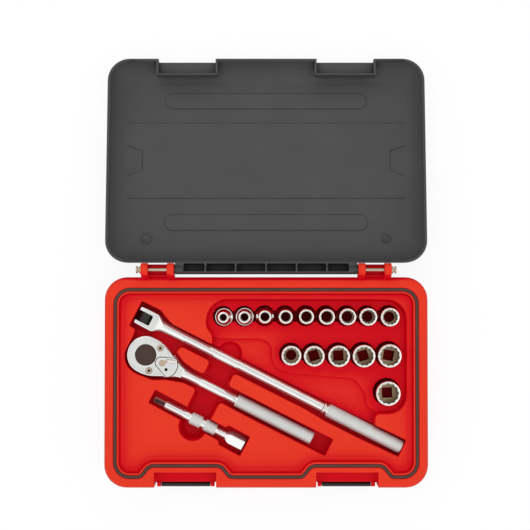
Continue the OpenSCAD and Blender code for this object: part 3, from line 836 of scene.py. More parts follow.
class Maker:
    """Turns meshes into pieces of the set: named, dressed and riding on a body."""

    def __init__(self, materials: dict[Surface, bpy.types.Material]) -> None:
        """Keeps the materials and the table of which body holds each CAD node."""
        self.materials = materials
        self.body_of = {name: node["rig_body"] for name, node in frame["nodes"].items()}

    def dress(self, node: str, surface: Surface) -> None:
        """Gives a CAD node that stays as it is its finish.

        Args:
            node: The CAD node.
            surface: Its finish.
        """
        mesh = frame["nodes"][node].data
        mesh.materials.clear()
        mesh.materials.append(self.materials[surface])
        LOG.info("dressed %s as %s", node, surface.value)

    def piece(self, name: str, mesh: Mesh, body: str, *surfaces: Surface) -> bpy.types.Object:
        """Makes an object of a mesh.

        Args:
            name: Name of the piece.
            mesh: Its mesh, in metres.
            body: The CAD body that carries it.
            surfaces: Its finishes, in the order of the mesh's material indices.

        Returns:
            The object, riding on its body.
        """
        item = bpy.data.objects.new(name, mesh)
        bpy.context.scene.collection.objects.link(item)
        while len(mesh.materials) > len(surfaces):
            mesh.materials.pop()
        while len(mesh.materials) < len(surfaces):
            mesh.materials.append(None)
        for index, surface in enumerate(surfaces):
            mesh.materials[index] = self.materials[surface]
        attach(item, body)
        LOG.info("made %s, %d faces", name, len(mesh.polygons))
        return item

    def smooth(self, name: str, mesh: Mesh, body: str, angle: float, *surfaces: Surface) -> bpy.types.Object:
        """Makes a piece of a mesh in millimetres, smooth except at its sharp edges.

        Args:
            name: Name of the piece.
            mesh: Its mesh, in place.
            body: The CAD body that carries it.
            angle: Angle in degrees from which an edge stays sharp.
            surfaces: Its finishes.

        Returns:
            The piece.
        """
        mesh.transform(Matrix.Scale(MM, 4))
        mesh.shade_smooth()
        mesh.set_sharp_from_angle(angle=math.radians(angle))
        item = self.piece(name, mesh, body, *surfaces)
        item.modifiers.new("even_normals", "WEIGHTED_NORMAL").keep_sharp = True
        return item

    def softened(self, node: str, surface: Surface, width: float) -> None:
        """Rounds the edges of a CAD node's copy, which then stands in for it.

        Args:
            node: The CAD node.
            surface: Its finish.
            width: Width of the rounding, in metres.
        """
        bm = bmesh.new()
        bm.from_mesh(frame["nodes"][node].data)
        bmesh.ops.remove_doubles(bm, verts=bm.verts, dist=0.01 * MM)
        bmesh.ops.dissolve_limit(bm, angle_limit=FLAT, verts=bm.verts, edges=bm.edges)
        for face in bm.faces:
            face.smooth = True
            face.material_index = 0
        mesh = bpy.data.meshes.new(node + "_soft")
        bm.to_mesh(mesh)
        bm.free()
        item = self.piece(node + "_dressed", mesh, self.body_of[node], surface)
        bevel = item.modifiers.new("rounded_edges", "BEVEL")
        bevel.width = width
        bevel.segments = 3
        bevel.limit_method = "ANGLE"
        bevel.angle_limit = CAD_EDGE
        bevel.use_clamp_overlap = False
        bevel.harden_normals = True
        bevel.miter_outer = "MITER_ARC"
        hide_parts(node)


@dataclass(frozen=True)
class Bench:
    """Makes one tool's pieces from meshes in the tool's own frame."""

    maker: Maker
    place: Matrix

    def part(self, name: str, mesh: Mesh, body: str, angle: float, *surfaces: Surface) -> bpy.types.Object:
        """Makes a piece, with the same arguments as the maker's smooth pieces."""
        mesh.transform(self.place)
        return self.maker.smooth(name, mesh, body, angle, *surfaces)

    def stand_in(self, name: str, node: str, mesh: Mesh, body: str, angle: float, *surfaces: Surface) -> None:
        """Makes a piece that stands for a CAD node."""
        item = self.part(name, mesh, body, angle, *surfaces)
        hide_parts(node)


# ---------------------------------------------------------------- stage, light and camera


@dataclass(frozen=True)
class Studio:
    """A pale floor, soft light from above and the camera that looks down at the case."""

    scale: float = 1.2 * MM                  # metres for each pixel at the rim's height
    distance: float = 1.300
    middle_px: float = 265.0
    nadir_px: float = 290.0
    case_px: tuple[float, float] = (266.15, 382.2)
    sensor: float = 36.0
    sky: tuple[tuple[float, float], ...] = ((0.0, 0.6), (0.2, 0.74), (0.45, 0.9), (0.7, 1.0), (0.93, 0.97),
                                            (0.98, 0.7), (1.0, 0.66))
    sky_strength: float = 1.2
    gap_y: float = 0.45
    gap_half: float = 0.1
    gap_share: float = 0.8
    floor_half: float = 4.0
    floor_glow: float = 0.88

    def linked(self, name: str, data: bpy.types.ID) -> bpy.types.Object:
        """Makes an object of its data and links it to the scene.

        Args:
            name: Name of the object.
            data: Its mesh, camera or lamp.

        Returns:
            The object.
        """
        item = bpy.data.objects.new(name, data)
        bpy.context.scene.collection.objects.link(item)
        return item

    def camera(self) -> None:
        """Sets the camera over the hinge, a touch off straight down."""
        focal_px = self.distance / self.scale
        data = bpy.data.cameras.new("camera")
        data.type = "PERSP"
        data.sensor_width = self.sensor
        data.lens = self.sensor * focal_px / (2 * self.middle_px)
        data.clip_end = 20.0
        item = self.linked("camera", data)
        item.location = ((self.middle_px - self.case_px[0]) * self.scale,
                         (self.case_px[1] - self.nadir_px) * self.scale, self.distance + SET.rim_z * MM)
        item.rotation_euler = (math.atan((self.nadir_px - self.middle_px) / focal_px), 0.0, 0.0)
        bpy.context.scene.camera = item

    def lamp(self, name: str, place: Place, size: float, power: float) -> None:
        """Adds a square soft lamp that faces the case.

        Args:
            name: Name of the lamp.
            place: Where it stands, in metres.
            size: Length of its side.
            power: Its power in watts.
        """
        data = bpy.data.lights.new(name, "AREA")
        data.size = size
        data.energy = power
        item = self.linked(name, data)
        item.location = place
        item.rotation_euler = (Vector((0.0, 0.1, 0.0)) - Vector(place)).to_track_quat("-Z", "Y").to_euler()

    def world(self) -> None:
        """Pale surroundings that the metal mirrors: bright overhead, with a dark gap on the hinge side."""
        world = bpy.data.worlds.new("studio")
        world.use_nodes = True
        bpy.context.scene.world = world
        desk = NodeDesk(world.node_tree)
        height = desk.add("SeparateXYZ", {}, Vector=desk.add("TexCoord").outputs["Generated"]).outputs
        ramp = desk.add("ValToRGB", {}, Fac=height["Z"])
        stops = ramp.color_ramp.elements
        stops.remove(stops[1])
        for index, (place, level) in enumerate(self.sky):
            stop = stops[0] if index == 0 else stops.new(place)
            stop.position = place
            stop.color = (level, level, level, 1.0)
        inside = desk.math("COMPARE", height["Y"], self.gap_y, self.gap_half)
        strip = desk.math("MULTIPLY", inside, -self.gap_share)
        level = desk.math("MULTIPLY", desk.math("ADD", strip, 1.0), ramp.outputs["Color"])
        soft = desk.add("Background", {}, Color=level, Strength=self.sky_strength).outputs[0]
        white = desk.add("Background", {}, Color=(1.0, 1.0, 1.0, 1.0), Strength=1.0).outputs[0]
        seen = desk.add("LightPath").outputs["Is Camera Ray"]
        choose = desk.add("MixShader", {}, i0=seen, i1=soft, i2=white)
        desk.add("OutputWorld", {}, Surface=choose.outputs[0])

    def floor(self) -> None:
        """A white floor that keeps the case's shadow, faintly."""
        bm = bmesh.new()
        bmesh.ops.create_grid(bm, x_segments=1, y_segments=1, size=self.floor_half)
        mesh = bpy.data.meshes.new("floor")
        bm.to_mesh(mesh)
        bm.free()
        self.linked("floor", mesh)
        material, desk = new_material("pale_floor")
        path = desk.add("LightPath").outputs
        mirrored_or_through = desk.math("MAXIMUM", path["Is Glossy Ray"], path["Is Transmission Ray"])
        seen = desk.math("MAXIMUM", path["Is Camera Ray"], mirrored_or_through)
        pale = desk.add("BsdfPrincipled", {}, Base_Color=(0.96, 0.96, 0.96, 1.0), Roughness=0.9,
                        Specular_IOR_Level=0.1).outputs[0]
        white = desk.add("Emission", {}, Color=(1.0, 1.0, 1.0, 1.0), Strength=1.0).outputs[0]
        choose = desk.add("MixShader", {}, i0=desk.math("MULTIPLY", seen, self.floor_glow), i1=pale, i2=white)
        desk.add("OutputMaterial", {}, Surface=choose.outputs[0])
        mesh.materials.append(material)

    def build(self) -> None:
        """Sets up the whole studio."""
        bpy.context.scene.view_settings.view_transform = "Standard"
        self.camera()
        self.world()
        self.floor()
        self.lamp("lamp_back", (-0.5, 0.9, 1.5), size=0.9, power=3.0)
        self.lamp("lamp_right", (1.0, -0.3, 1.4), size=0.8, power=1.5)


# ---------------------------------------------------------------- the tray


def sunk(start: Form, above: float, edge: Steps, wall: tuple[float, float], base: Steps) -> Form:
    """Makes a pocket's cut.

    Args:
        start: The pocket's outline, above the face that it is cut in.
        above: How far above.
        edge: Steps round the pocket's edge.
        wall: Inset and rise of its wall.
        base: Steps into its floor.

    Returns:
        The cut.
    """
    return start.walk([(0, -above)] + edge + [wall] + base)


@dataclass(frozen=True)
class Tray:
    """The formed insert: a flat top with one basin for the sockets and pockets for the tools."""

    maker: Maker
    half_l: float = 176.4
    back_y: float = 106.4
    front_y: float = -108.4
    latch_y: float = -95.0
    corner: float = 13.0
    floor: float = 3.2
    top: float = 44.0
    lip: float = 49.2
    deck: float = 34.0
    step: float = 31.0
    channel: float = 25.0
    edge: float = 1.5
    gap: float = 0.35
    above: float = 2.5
    well_shift: tuple[float, float] = (-0.8, 1.0)    # from a socket's place to its well's
    well_gap: float = 2.4
    well_depth: float = 22.2
    slot_depth: float = 22.6
    slot_sides: tuple[float, float] = (-6.4, 8.2)    # a row's slot, measured from the sockets' places
    rows: tuple[tuple[int, int], ...] = ((0, 8), (9, 13))    # first and last socket of each row

    def outline(self) -> Plan:
        """Gives the cavity's outline, stepped in behind both latch recesses.

        Returns:
            The outline.
        """
        x, back, front, inner = (self.half_l - self.gap, self.back_y - self.gap, self.front_y + self.gap,
                                 self.latch_y + self.gap)
        return mirrored([(x, back, self.corner), (x, front, self.corner), (152.7, front, 6.4),
                         (142.2, inner, 16.3), (51.8, inner, 16.3), (41.3, front, 6.4)])

    def tool_hole(self) -> Plan:
        """Gives the edge of the hole that the ratchet and the hinged handle lie in.

        Returns:
            The outline.
        """
        r, h = SET.ratchet, SET.handle
        return [
            h(-3.4, 18.1, 2), h(23.5, 18.4, 3), h(31, 14.6, 5), h(44, 9.7, 12), h(257, 9.7, 6),
            h(340, 12, 20), h(358.8, 12, 2), h(359, -12.4, 2), h(302, -14, 10), h(257, -13.9, 3),
            h(250, -13.2, 4), h(230, -12, 12), h(137.5, -12, 3.5), h(137.5, -18.3, 0), h(102.9, -18.3, 0),
            h(102.9, -12, 3.5), r(34.5, 27, 3), r(33, 20.6, 2), r(45, 14.2, 18), r(60, 12, 14),
            r(71.7, 12, 3.5), r(71.7, 18.4, 0), r(106.3, 18.4, 0), r(106.3, 12.9, 3.5), r(220, 12.5, 20),
            r(248.5, 12.4, 2), r(248.5, -12.4, 2), r(140, -12.4, 20), r(106.3, -11.6, 3.5), r(106.3, -17, 0),
            r(71.7, -17, 0), r(71.7, -10.4, 3.5), r(56, -10.8, 14), r(36, -16.6, 20), r(21, -24.6, 16),
            r(0, -26.6, 22), r(-26.4, -24, 22), r(-25.3, 3, 16), (-162.2, 55.0, 8), (-159.2, 62.8, 2),
            h(-3.9, -17.6, 2)]

    def basin(self) -> Plan:
        """Gives the edge of the basin; its lower side runs along inside the hinged handle's channel.

        Returns:
            The outline.
        """
        h = SET.handle
        return [(-73.6, 101.2, 27), (170.6, 100.4, 25), (170.4, -39.7, 23.5), (132.6, -39.5, 5),
                (132.2, -50.5, 0), h(322, 2, 0), h(96, 2, 0), (-66.2, 49.2, 0), (-66.6, 57.2, 8),
                (-73.6, 64.5, 14)]

    def lower_basin(self) -> Plan:
        """Gives the part of the basin that lies a step below the socket deck.

        Returns:
            The outline.
        """
        h = SET.handle
        return [(-66.4, 60.0, 0), (-66.2, 54.5, 4), (-57, 52.5, 10), (-6, 52.6, 14), (7.4, 46.5, 11),
                (8.6, 16.4, 17), (29, 10.8, 12), (108, 4.4, 16), (121.5, -14.5, 14), (122.6, -30.5, 12),
                (133.6, -36.6, 4), (134.5, -43, 0), h(318, 2, 0), h(98, 2, 0), (-67.0, 49.5, 0)][::-1]

    def from_top(self, start: Form, wall: tuple[float, float], base: Steps) -> Form:
        """Makes a pocket's cut from above the tray's top; see sunk for the arguments."""
        return sunk(start, self.above, roundover(self.edge), wall, base)

    def basins(self) -> list[Form]:
        """Makes the cuts of the tools' hole and of the basin with its lower part.

        Returns:
            The cuts.
        """
        start, fall = self.top + self.above, self.edge - self.top
        tools, deck = (0.8, 2.6), (1.2, 4.6)     # foot's radius and least corner of each hole
        return [
            self.from_top(Form.polygon(eased(self.tool_hole(), tools[1]), start),
                          (0, self.channel + fall + tools[0]), foot(tools[0])),
            self.from_top(Form.polygon(eased(self.basin(), deck[1]), start),
                          (1.6, self.deck + fall + deck[0]), foot(deck[0])),
            sunk(Form.polygon(eased(self.lower_basin(), 2.3), self.deck + 1), 1, roundover(1.2, 3),
                 (0, -1.0), foot(0.8)),
        ]

    def wells(self) -> list[Form]:
        """Makes the sockets' round wells and the slots that join those of each row.

        Returns:
            The cuts.
        """
        wells = []
        (over, back), (low, high) = self.well_shift, self.slot_sides
        for size, (x, y, _) in SET.sized():
            well = Form.disc(x + over, y + back, self.deck + 1, SET.body_radius(size) + self.well_gap, 56)
            wells.append(sunk(well, 1, roundover(0.9, 3), (0.3, -self.well_depth), foot(0.8)))
        for first, last in self.rows:
            (x0, y0, _), (x1, y1, _) = SET.sockets[first], SET.sockets[last]
            slot = [(x0, y0 + low, 0), (x1, y1 + low, 0), (x1, y1 + high, 0), (x0, y0 + high, 0)]
            slot_form = Form.polygon(slot, self.deck + 1)
            wells.append(sunk(slot_form, 1, roundover(0.9, 3), (0, -self.slot_depth), []))
        return wells

    def tool_beds(self) -> list[Form]:
        """Makes the deep places under the fork, its square and the ratchet's head.

        Returns:
            The cuts.
        """
        h = SET.handle
        fork = [h(-3.2, 17.4, 1), h(26.4, 17.4, 1), h(26.4, -17.2, 1), h(-3.2, -17.2, 1)]
        square = [h(-3.0, 9.1, 1), h(21, 9.1, 1), h(21, -9.1, 1), h(-3.0, -9.1, 1)]
        return [
            Form.polygon(fork, 26).walk([(0, -4)] + foot(0.5)),
            Form.polygon(square, 23).walk([(0, -16.5)] + foot(0.5)),
            Form.disc(*SET.ratchet(0, 0)[:2], 27, 11.6).walk([(0, -19)]),
        ]

    def hand_holes(self) -> list[Form]:
        """Makes the adaptor's pocket, the finger trench across the tools and the two finger hollows.

        Returns:
            The cuts.
        """
        r, a = SET.ratchet, SET.adaptor_pocket
        start = self.top + self.above
        pocket = [a(-5.4, 12.6, 2), a(91.6, 12.9, 2.5), a(93, 16.8, 2.5), a(124.5, 17, 2),
                  a(124.7, -11.6, 2), a(93.5, -11.6, 2.5), a(91, -7.6, 2.5), a(-5.2, -7.6, 2)]
        trench = [r(71.5, 40), r(106.5, 40), r(106.5, -50), r(71.5, -50)]
        return [
            self.from_top(Form.polygon(eased(pocket, 2.7), start), (0, -13.95), foot(1.0)),
            self.from_top(Form.polygon(trench, start), (3.2, -19.5), foot(1.0)),
            self.from_top(Form.disc(*r(89.5, -51.3)[:2], start, 18.2, 64), (2.4, -14.5), foot(6.0, 5)),
            sunk(Form.disc(*r(89.8, 46.3)[:2], self.step + 1, 15.6, 64), 1, roundover(1.0, 3), (1.0, -1.5),
                 foot(4.5, 5)),
        ]

    def build(self) -> None:
        """Makes the tray in place of its CAD nodes."""
        lip_curve = curve(5.2, self.top - self.lip, 6)
        blank = Form.polygon(self.outline(), self.floor, 7).walk(
            [(0, self.lip - self.floor - 0.4)] + crown(0.4, 2) + lip_curve)
        holes = self.basins() + self.wells() + self.tool_beds() + self.hand_holes()
        mesh = combined("tray", blank, "DIFFERENCE", holes)
        tray = self.maker.smooth("tray", mesh, "case_base", 38.0, Surface.RED_TRAY)
        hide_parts("tool_tray", "socket_deck", "back_well", "front_well", "corner_well",
                    "ratchet_well", "handle_well", "adaptor_well", "finger_well")


# ---------------------------------------------------------------- the case


@dataclass(frozen=True)
class Lid:
    """The grey lid, made shut and then turned open about the hinge."""

    maker: Maker
    half_l: float = 194.0
    half_w: float = 126.0
    low: float = 50.3
    panel_z: float = 75.6
    panel_rise: float = 1.4
    pad_half_l: float = 124.7
    pad_half_w: float = 9.6
    pad_ys: tuple[float, float] = (-78.7, 73.6)
    latch_x: float = 97.0
    latch_half: float = 35.0
    latch_wall: float = 2.6
    hinge_y: float = 134.8
    hinge_z: float = 50.15
    beam_half: float = 109.6
    rod_r: float = 4.2
    pin_r: float = 2.04
    pin_x: float = 106.4
    windows_x: tuple[tuple[float, float], ...] = ((1.2, 35.4), (37.7, 71.8), (74.0, 99.2))
    dial_y: float = 93.6
    dial_z: float = 75.25
    dials_at: tuple[tuple[float, float], ...] = ((-146.9, 7.8), (147.5, 6.2))   # x and radius of each dial
    dial_ticks: int = 12
    arrow_turn: float = 51.566
    angle: float = 185.1

    def loft(self, walk: list[Place]) -> Form:
        """Makes a solid of levels.

        Args:
            walk: Height above the parting plane, inset from the rim and corner radius of each level.

        Returns:
            The solid.
        """
        length, width = self.half_l, self.half_w
        return Form.lofted([(self.low + z, length - inset, width - inset, r) for z, inset, r in walk], 9)

    def outer(self) -> Form:
        """Makes the lid's outside as a solid.

        Returns:
            The solid.
        """
        return self.loft([
            (0, 0.5, 26.5), (0.5, 0, 27), (8, 0.6, 26.6), (14, 1.5, 25.5), (17.5, 2.7, 24.5),
            (20.5, 4.2, 22.8), (23, 6.2, 20.8), (25.2, 8.4, 18.6), (26.8, 10.6, 16.4), (27.7, 12.6, 14.4)])

    def inner(self) -> Form:
        """Makes the lid's hollow as a solid.

        Returns:
            The solid.
        """
        return self.loft([
            (-1, 3.0, 24), (0, 3.0, 24), (3, 3.6, 23.6), (6, 4.6, 23), (9.5, 6.3, 22), (13, 8.6, 20.8),
            (16.4, 11.4, 19.2), (19.4, 14.6, 17.4), (21.8, 17.9, 15.6), (23.5, 20.9, 14), (24.4, 23.3, 12.8),
            (24.7, 25.2, 12)])

    def panels(self) -> list[Form]:
        """Makes the raised panels on the inside: two long ones with round ends and a broad band.

        Returns:
            The forms that stay when the lid is hollowed.
        """
        rise = [(0, -self.panel_rise)] + foot(0.5)
        x, h = self.pad_half_l, self.pad_half_w
        plans = [box_plan((-x, y - h), (x, y + h), h - 0.1) for y in self.pad_ys]
        band = mirrored([(177.7, 43, 3), (177.7, 18.8, 2), (152.6, 8.6, 1.5), (152.6, -16.3, 1.5),
                         (177.7, -25, 2), (177.7, -50.6, 3)])
        forms = [Form.polygon(plan, self.panel_z, 8) for plan in plans]
        return [form.walk(rise) for form in forms + [Form.polygon(band[::-1], self.panel_z)]]

    def recess_walls(self) -> list[Form]:
        """Makes the boxes of the walls that stand round both latch recesses.

        Returns:
            The forms that stay when the lid is hollowed.
        """
        walls = []
        half = self.latch_half + self.latch_wall
        for side in (-1, 1):
            low, high = side * self.latch_x - half, side * self.latch_x + half
            walls.append(Form.block((low, -166, 20), (high, -105, 61)).softened(1.2))
            walls.append(Form.block((low, -166, 57), (high, -116.6, 76.5)).softened(1.2))
        return walls

    def recess_cuts(self) -> list[Form]:
        """Makes the cuts of both latch recesses; their ends differ a little, so that no two faces meet.

        Returns:
            The cuts.
        """
        cuts = []
        for side in (-1, 1):
            low, high = side * self.latch_x - self.latch_half, side * self.latch_x + self.latch_half
            cuts.append(Form.block((low, -166, 10), (high, -107.6, 58)).softened(0.5, 2))
            cuts.append(Form.block((low - 0.01, -167, 9), (high + 0.01, -123.2, 118)))
            cuts.append(Form.block((low + 0.01, -168, 61), (high - 0.01, -119.5, 65.6)))
            cuts.append(Form.block((low + 0.02, -169, 65.4), (high - 0.02, -121, 119)))
        return cuts

    def beam(self) -> list[Form]:
        """Makes the hinge beam along the lid's back edge.

        Returns:
            The forms that join the lid.
        """
        x, y, z, r = self.beam_half, self.hinge_y, self.hinge_z, self.rod_r
        rod = Form.pin(x + 0.2, r, 0.4, 0.4).moved(shift(0, y, z))
        return [rod, Form.block((-x, y - 10.8, z + 0.2), (x, y + 0.02, z + 12)).softened(0.4, 2),
                Form.block((-x, y - 0.5, z + 0.02), (x, y + r - 0.01, z + 12)).softened(0.4, 2)]

    def windows(self) -> list[Form]:
        """Makes the closed windows along the hinge beam and the bores of the hinge pins.

        Returns:
            The cuts.
        """
        y, z = self.hinge_y, self.hinge_z
        cuts = []
        for side in (-1, 1):
            for span in self.windows_x:
                low, high = sorted(side * end for end in span)
                cuts.append(Form.block((low, y - 7.9, z - 10), (high, y + 2.2, z + 10.5)).softened(0.5, 2))
            cuts.append(Form.rod(-6, 6, self.pin_r).moved(shift(side * self.pin_x, y, z)))
        return cuts

    def dials(self) -> list[Form]:
        """Makes the two plain moulding dials: a ring of ticks round an arrow; the ticks are painted black as
        shade.

        Returns:
            The forms that stay when the lid is hollowed.
        """
        marks = []
        for x, size in self.dials_at:
            place = shift(x, self.dial_y, self.dial_z)
            for k in range(self.dial_ticks):
                tick = Form.block((size * 0.66, -0.42, -0.75), (size, 0.42, 0.4))
                # The ticks take the lid's second material, black plastic painted as shade.
                marks.append(tick.moved(place @ turned_by(k * 360 / self.dial_ticks, "Z")).tinted(1))
            marks.append(Form.disc(0, 0, 0.4, size * 0.5, 32).walk([(0, -0.9)] + foot(0.25, 2)).moved(place))
            half = [(0.5, -size * 0.34, 0), (0.5, size * 0.1, 0), (1.3, size * 0.1, 0)]
            arrow = half + [(0, size * 0.42, 0)] + [(-u, v, radius) for u, v, radius in reversed(half)]
            needle = Form.polygon(arrow, 0.3).walk([(0, -1.3)])
            marks.append(needle.moved(place @ turned_by(self.arrow_turn, "Z")))
        return marks

    def build(self) -> None:
        """Makes the lid in place of its CAD node."""
        kept = self.recess_walls() + self.panels() + self.dials()
        hollow = combined("lid_hollow", self.inner(), "DIFFERENCE", kept)
        shell = combined("lid", self.outer(), "DIFFERENCE", [Form.of(hollow)])
        shell = combined("lid", shell, "UNION", self.beam())
        shell = combined("lid", shell, "DIFFERENCE", self.recess_cuts() + self.windows())
        pivot = shift(0, self.hinge_y, self.hinge_z)
        shell.transform(pivot @ turned_by(-self.angle, "X") @ pivot.inverted())
        # The second material, the black latch plastic, is painted shade on the dial ticks.
        lid = self.maker.smooth("lid", shell, "lid", 32.0, Surface.GREY_LID, Surface.BLACK_LATCH)
        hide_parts("lid_shell")


@dataclass(frozen=True)
class Case:
    """The base, its tray and seal, the lid, the hinge pins and the latches."""

    maker: Maker

    def build(self) -> None:
        """Makes and dresses the case."""
        self.maker.softened("base_shell", Surface.RED_TRAY, 0.9 * MM)
        Tray(self.maker).build()
        self.maker.softened("rim_gasket", Surface.SEAL, 1.0 * MM)
        Lid(self.maker).build()
        for side in ("left", "right"):
            self.maker.softened("latch_" + side, Surface.BLACK_LATCH, 0.4 * MM)
        for node in ("hinge_pins", "latch_pins"):
            self.maker.dress(node, Surface.PLAIN_STEEL)


# ---------------------------------------------------------------- the sockets


@dataclass(frozen=True)
class Socket:
    """One twelve-point socket, standing on its drive end."""

    maker: Maker
    size: int
    place: Place
    seat: float = 10.0
    length: float = 38.0
    square_half: float = 6.45
    square_depth: float = 15.5
    widest_bore: float = 12.954
    points: int = 12
    angle: float = 28.0

    def body(self) -> Form:
        """Turns the outside, with its shoulder, the groove round the drive end and both chamfers.

        Returns:
            The solid.
        """
        wide, nose, top = SET.body_radius(self.size), SET.nose_radius(self.size), self.length
        slim = wide - nose
        cone = [(18.4, nose + 0.6), (20.0, nose + 0.2)]
        shoulder = [(17.0, wide)]
        if slim > 3.0:
            shoulder = [(15.8, wide), (16.4, wide - 0.15), (16.7, wide - 0.45), (16.75, wide - 1.25)] + cone
        elif slim > 1.0:
            shoulder = [(16.0, wide), (16.9, wide - 0.4)] + cone
        return Form.upright([
            (0, 0), (0, wide - 1.0), (0.3, wide - 0.4), (1.0, wide), (7.4, wide), (7.9, wide - 0.45),
            (9.1, wide - 0.45), (9.6, wide), *shoulder, (21.5, nose), (top - 1.5, nose),
            (top - 0.7, nose - 0.25), (top - 0.15, nose - 0.8), (top, nose - 1.4), (top, 0)], 56)

    def opening(self) -> float:
        """Gives the depth of the twelve-point opening."""
        return 9 + self.size * 0.35

    def star(self) -> Form:
        """Makes the twelve-point opening from a circle whose every other corner is drawn in.

        Returns:
            The cut.
        """
        across = self.size + 0.2
        peak = across / math.sqrt(3)
        half_turn = math.pi / self.points
        form = Form.disc(0, 0, self.length - self.opening(), peak, 2 * self.points)
        for index, vert in enumerate(form.bm.verts):
            reach = across / 2 / math.cos(half_turn) if index % 2 else peak
            vert.co.x, vert.co.y = reach * math.cos(half_turn * index), reach * math.sin(half_turn * index)
        return form.walk([(0, self.opening() + 1)]).tinted(1)

    def cuts(self) -> list[Form]:
        """Makes the opening, the drive square, the bore between them and the lead into the opening.

        Returns:
            The cuts.
        """
        half, top, radius = self.square_half, self.length, self.size / 2
        bore = min(self.size + 0.08, self.widest_bore) / 2
        square_top = top - self.opening() + 0.2 if self.size > 17 else self.square_depth
        low, high = top - 0.5, top + 0.4
        return [
            self.star(),
            Form.block((-half, -half, -1), (half, half, square_top)).softened(0.6, 2).tinted(1),
            Form.upright([(-1, 0), (-1, bore), (top - 2, bore), (top - 2, 0)]).tinted(1),
            Form.upright([(low, 0), (low, radius - 0.4), (high, radius + 0.5), (high, 0)]),
        ]

    def build(self) -> None:
        """Makes the socket in place of its CAD node."""
        x, y, turn = self.place
        node = f"socket_{self.size:02d}"
        mesh = combined(f"socket_{self.size}", self.body(), "DIFFERENCE", self.cuts())
        mesh.transform(shift(x, y, self.seat) @ turned_by(turn, "Z"))
        item = self.maker.smooth(f"socket_{self.size}mm", mesh, node, self.angle, Surface.SOCKET,
                                 Surface.SOCKET_BORE)
        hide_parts(node)


# ---------------------------------------------------------------- the tools


@dataclass(frozen=True)
class Knurl:
    """A grip with a diamond knurl along the X axis."""

    start: float
    end: float
    radius: float
    chamfer: float = 1.0
    depth: float = 0.16
    pitch: float = 0.95
    end_drop: float = 0.9
    angle: float = 80.0

    def form(self) -> Form:
        """Turns the grip and presses every other point of its rows in.

        Returns:
            The solid.
        """
        start, end, chamfer, low = self.start, self.end, self.chamfer, self.radius - self.depth
        length = end - start - 2 * chamfer
        rows = int(length / self.pitch)
        step = length / rows
        profile = [(start, 0), (start, self.radius - self.end_drop), (start + chamfer * 0.6, low)]
        profile += [(start + chamfer + k * step, self.radius) for k in range(rows + 1)]
        profile += [(end - chamfer * 0.6, low), (end, self.radius - self.end_drop), (end, 0)]
        sides = 2 * round(math.pi * self.radius / self.pitch)
        form = Form.turned(profile, sides)
        for vert in form.bm.verts:
            ring = round((vert.co.x - start - chamfer) / step)
            spot = round(math.atan2(vert.co.z, vert.co.y) / math.tau * sides)
            if math.hypot(vert.co.y, vert.co.z) >= self.radius - 0.01 and (ring + spot) % 2:
                vert.co.y *= low / self.radius
                vert.co.z *= low / self.radius
        return form

    def fit(self, bench: Bench, name: str, body: str) -> None:
        """Makes the grip a piece of a tool."""
        bench.part(name, self.form().mesh(name), body, self.angle, Surface.SATIN_CHROME)


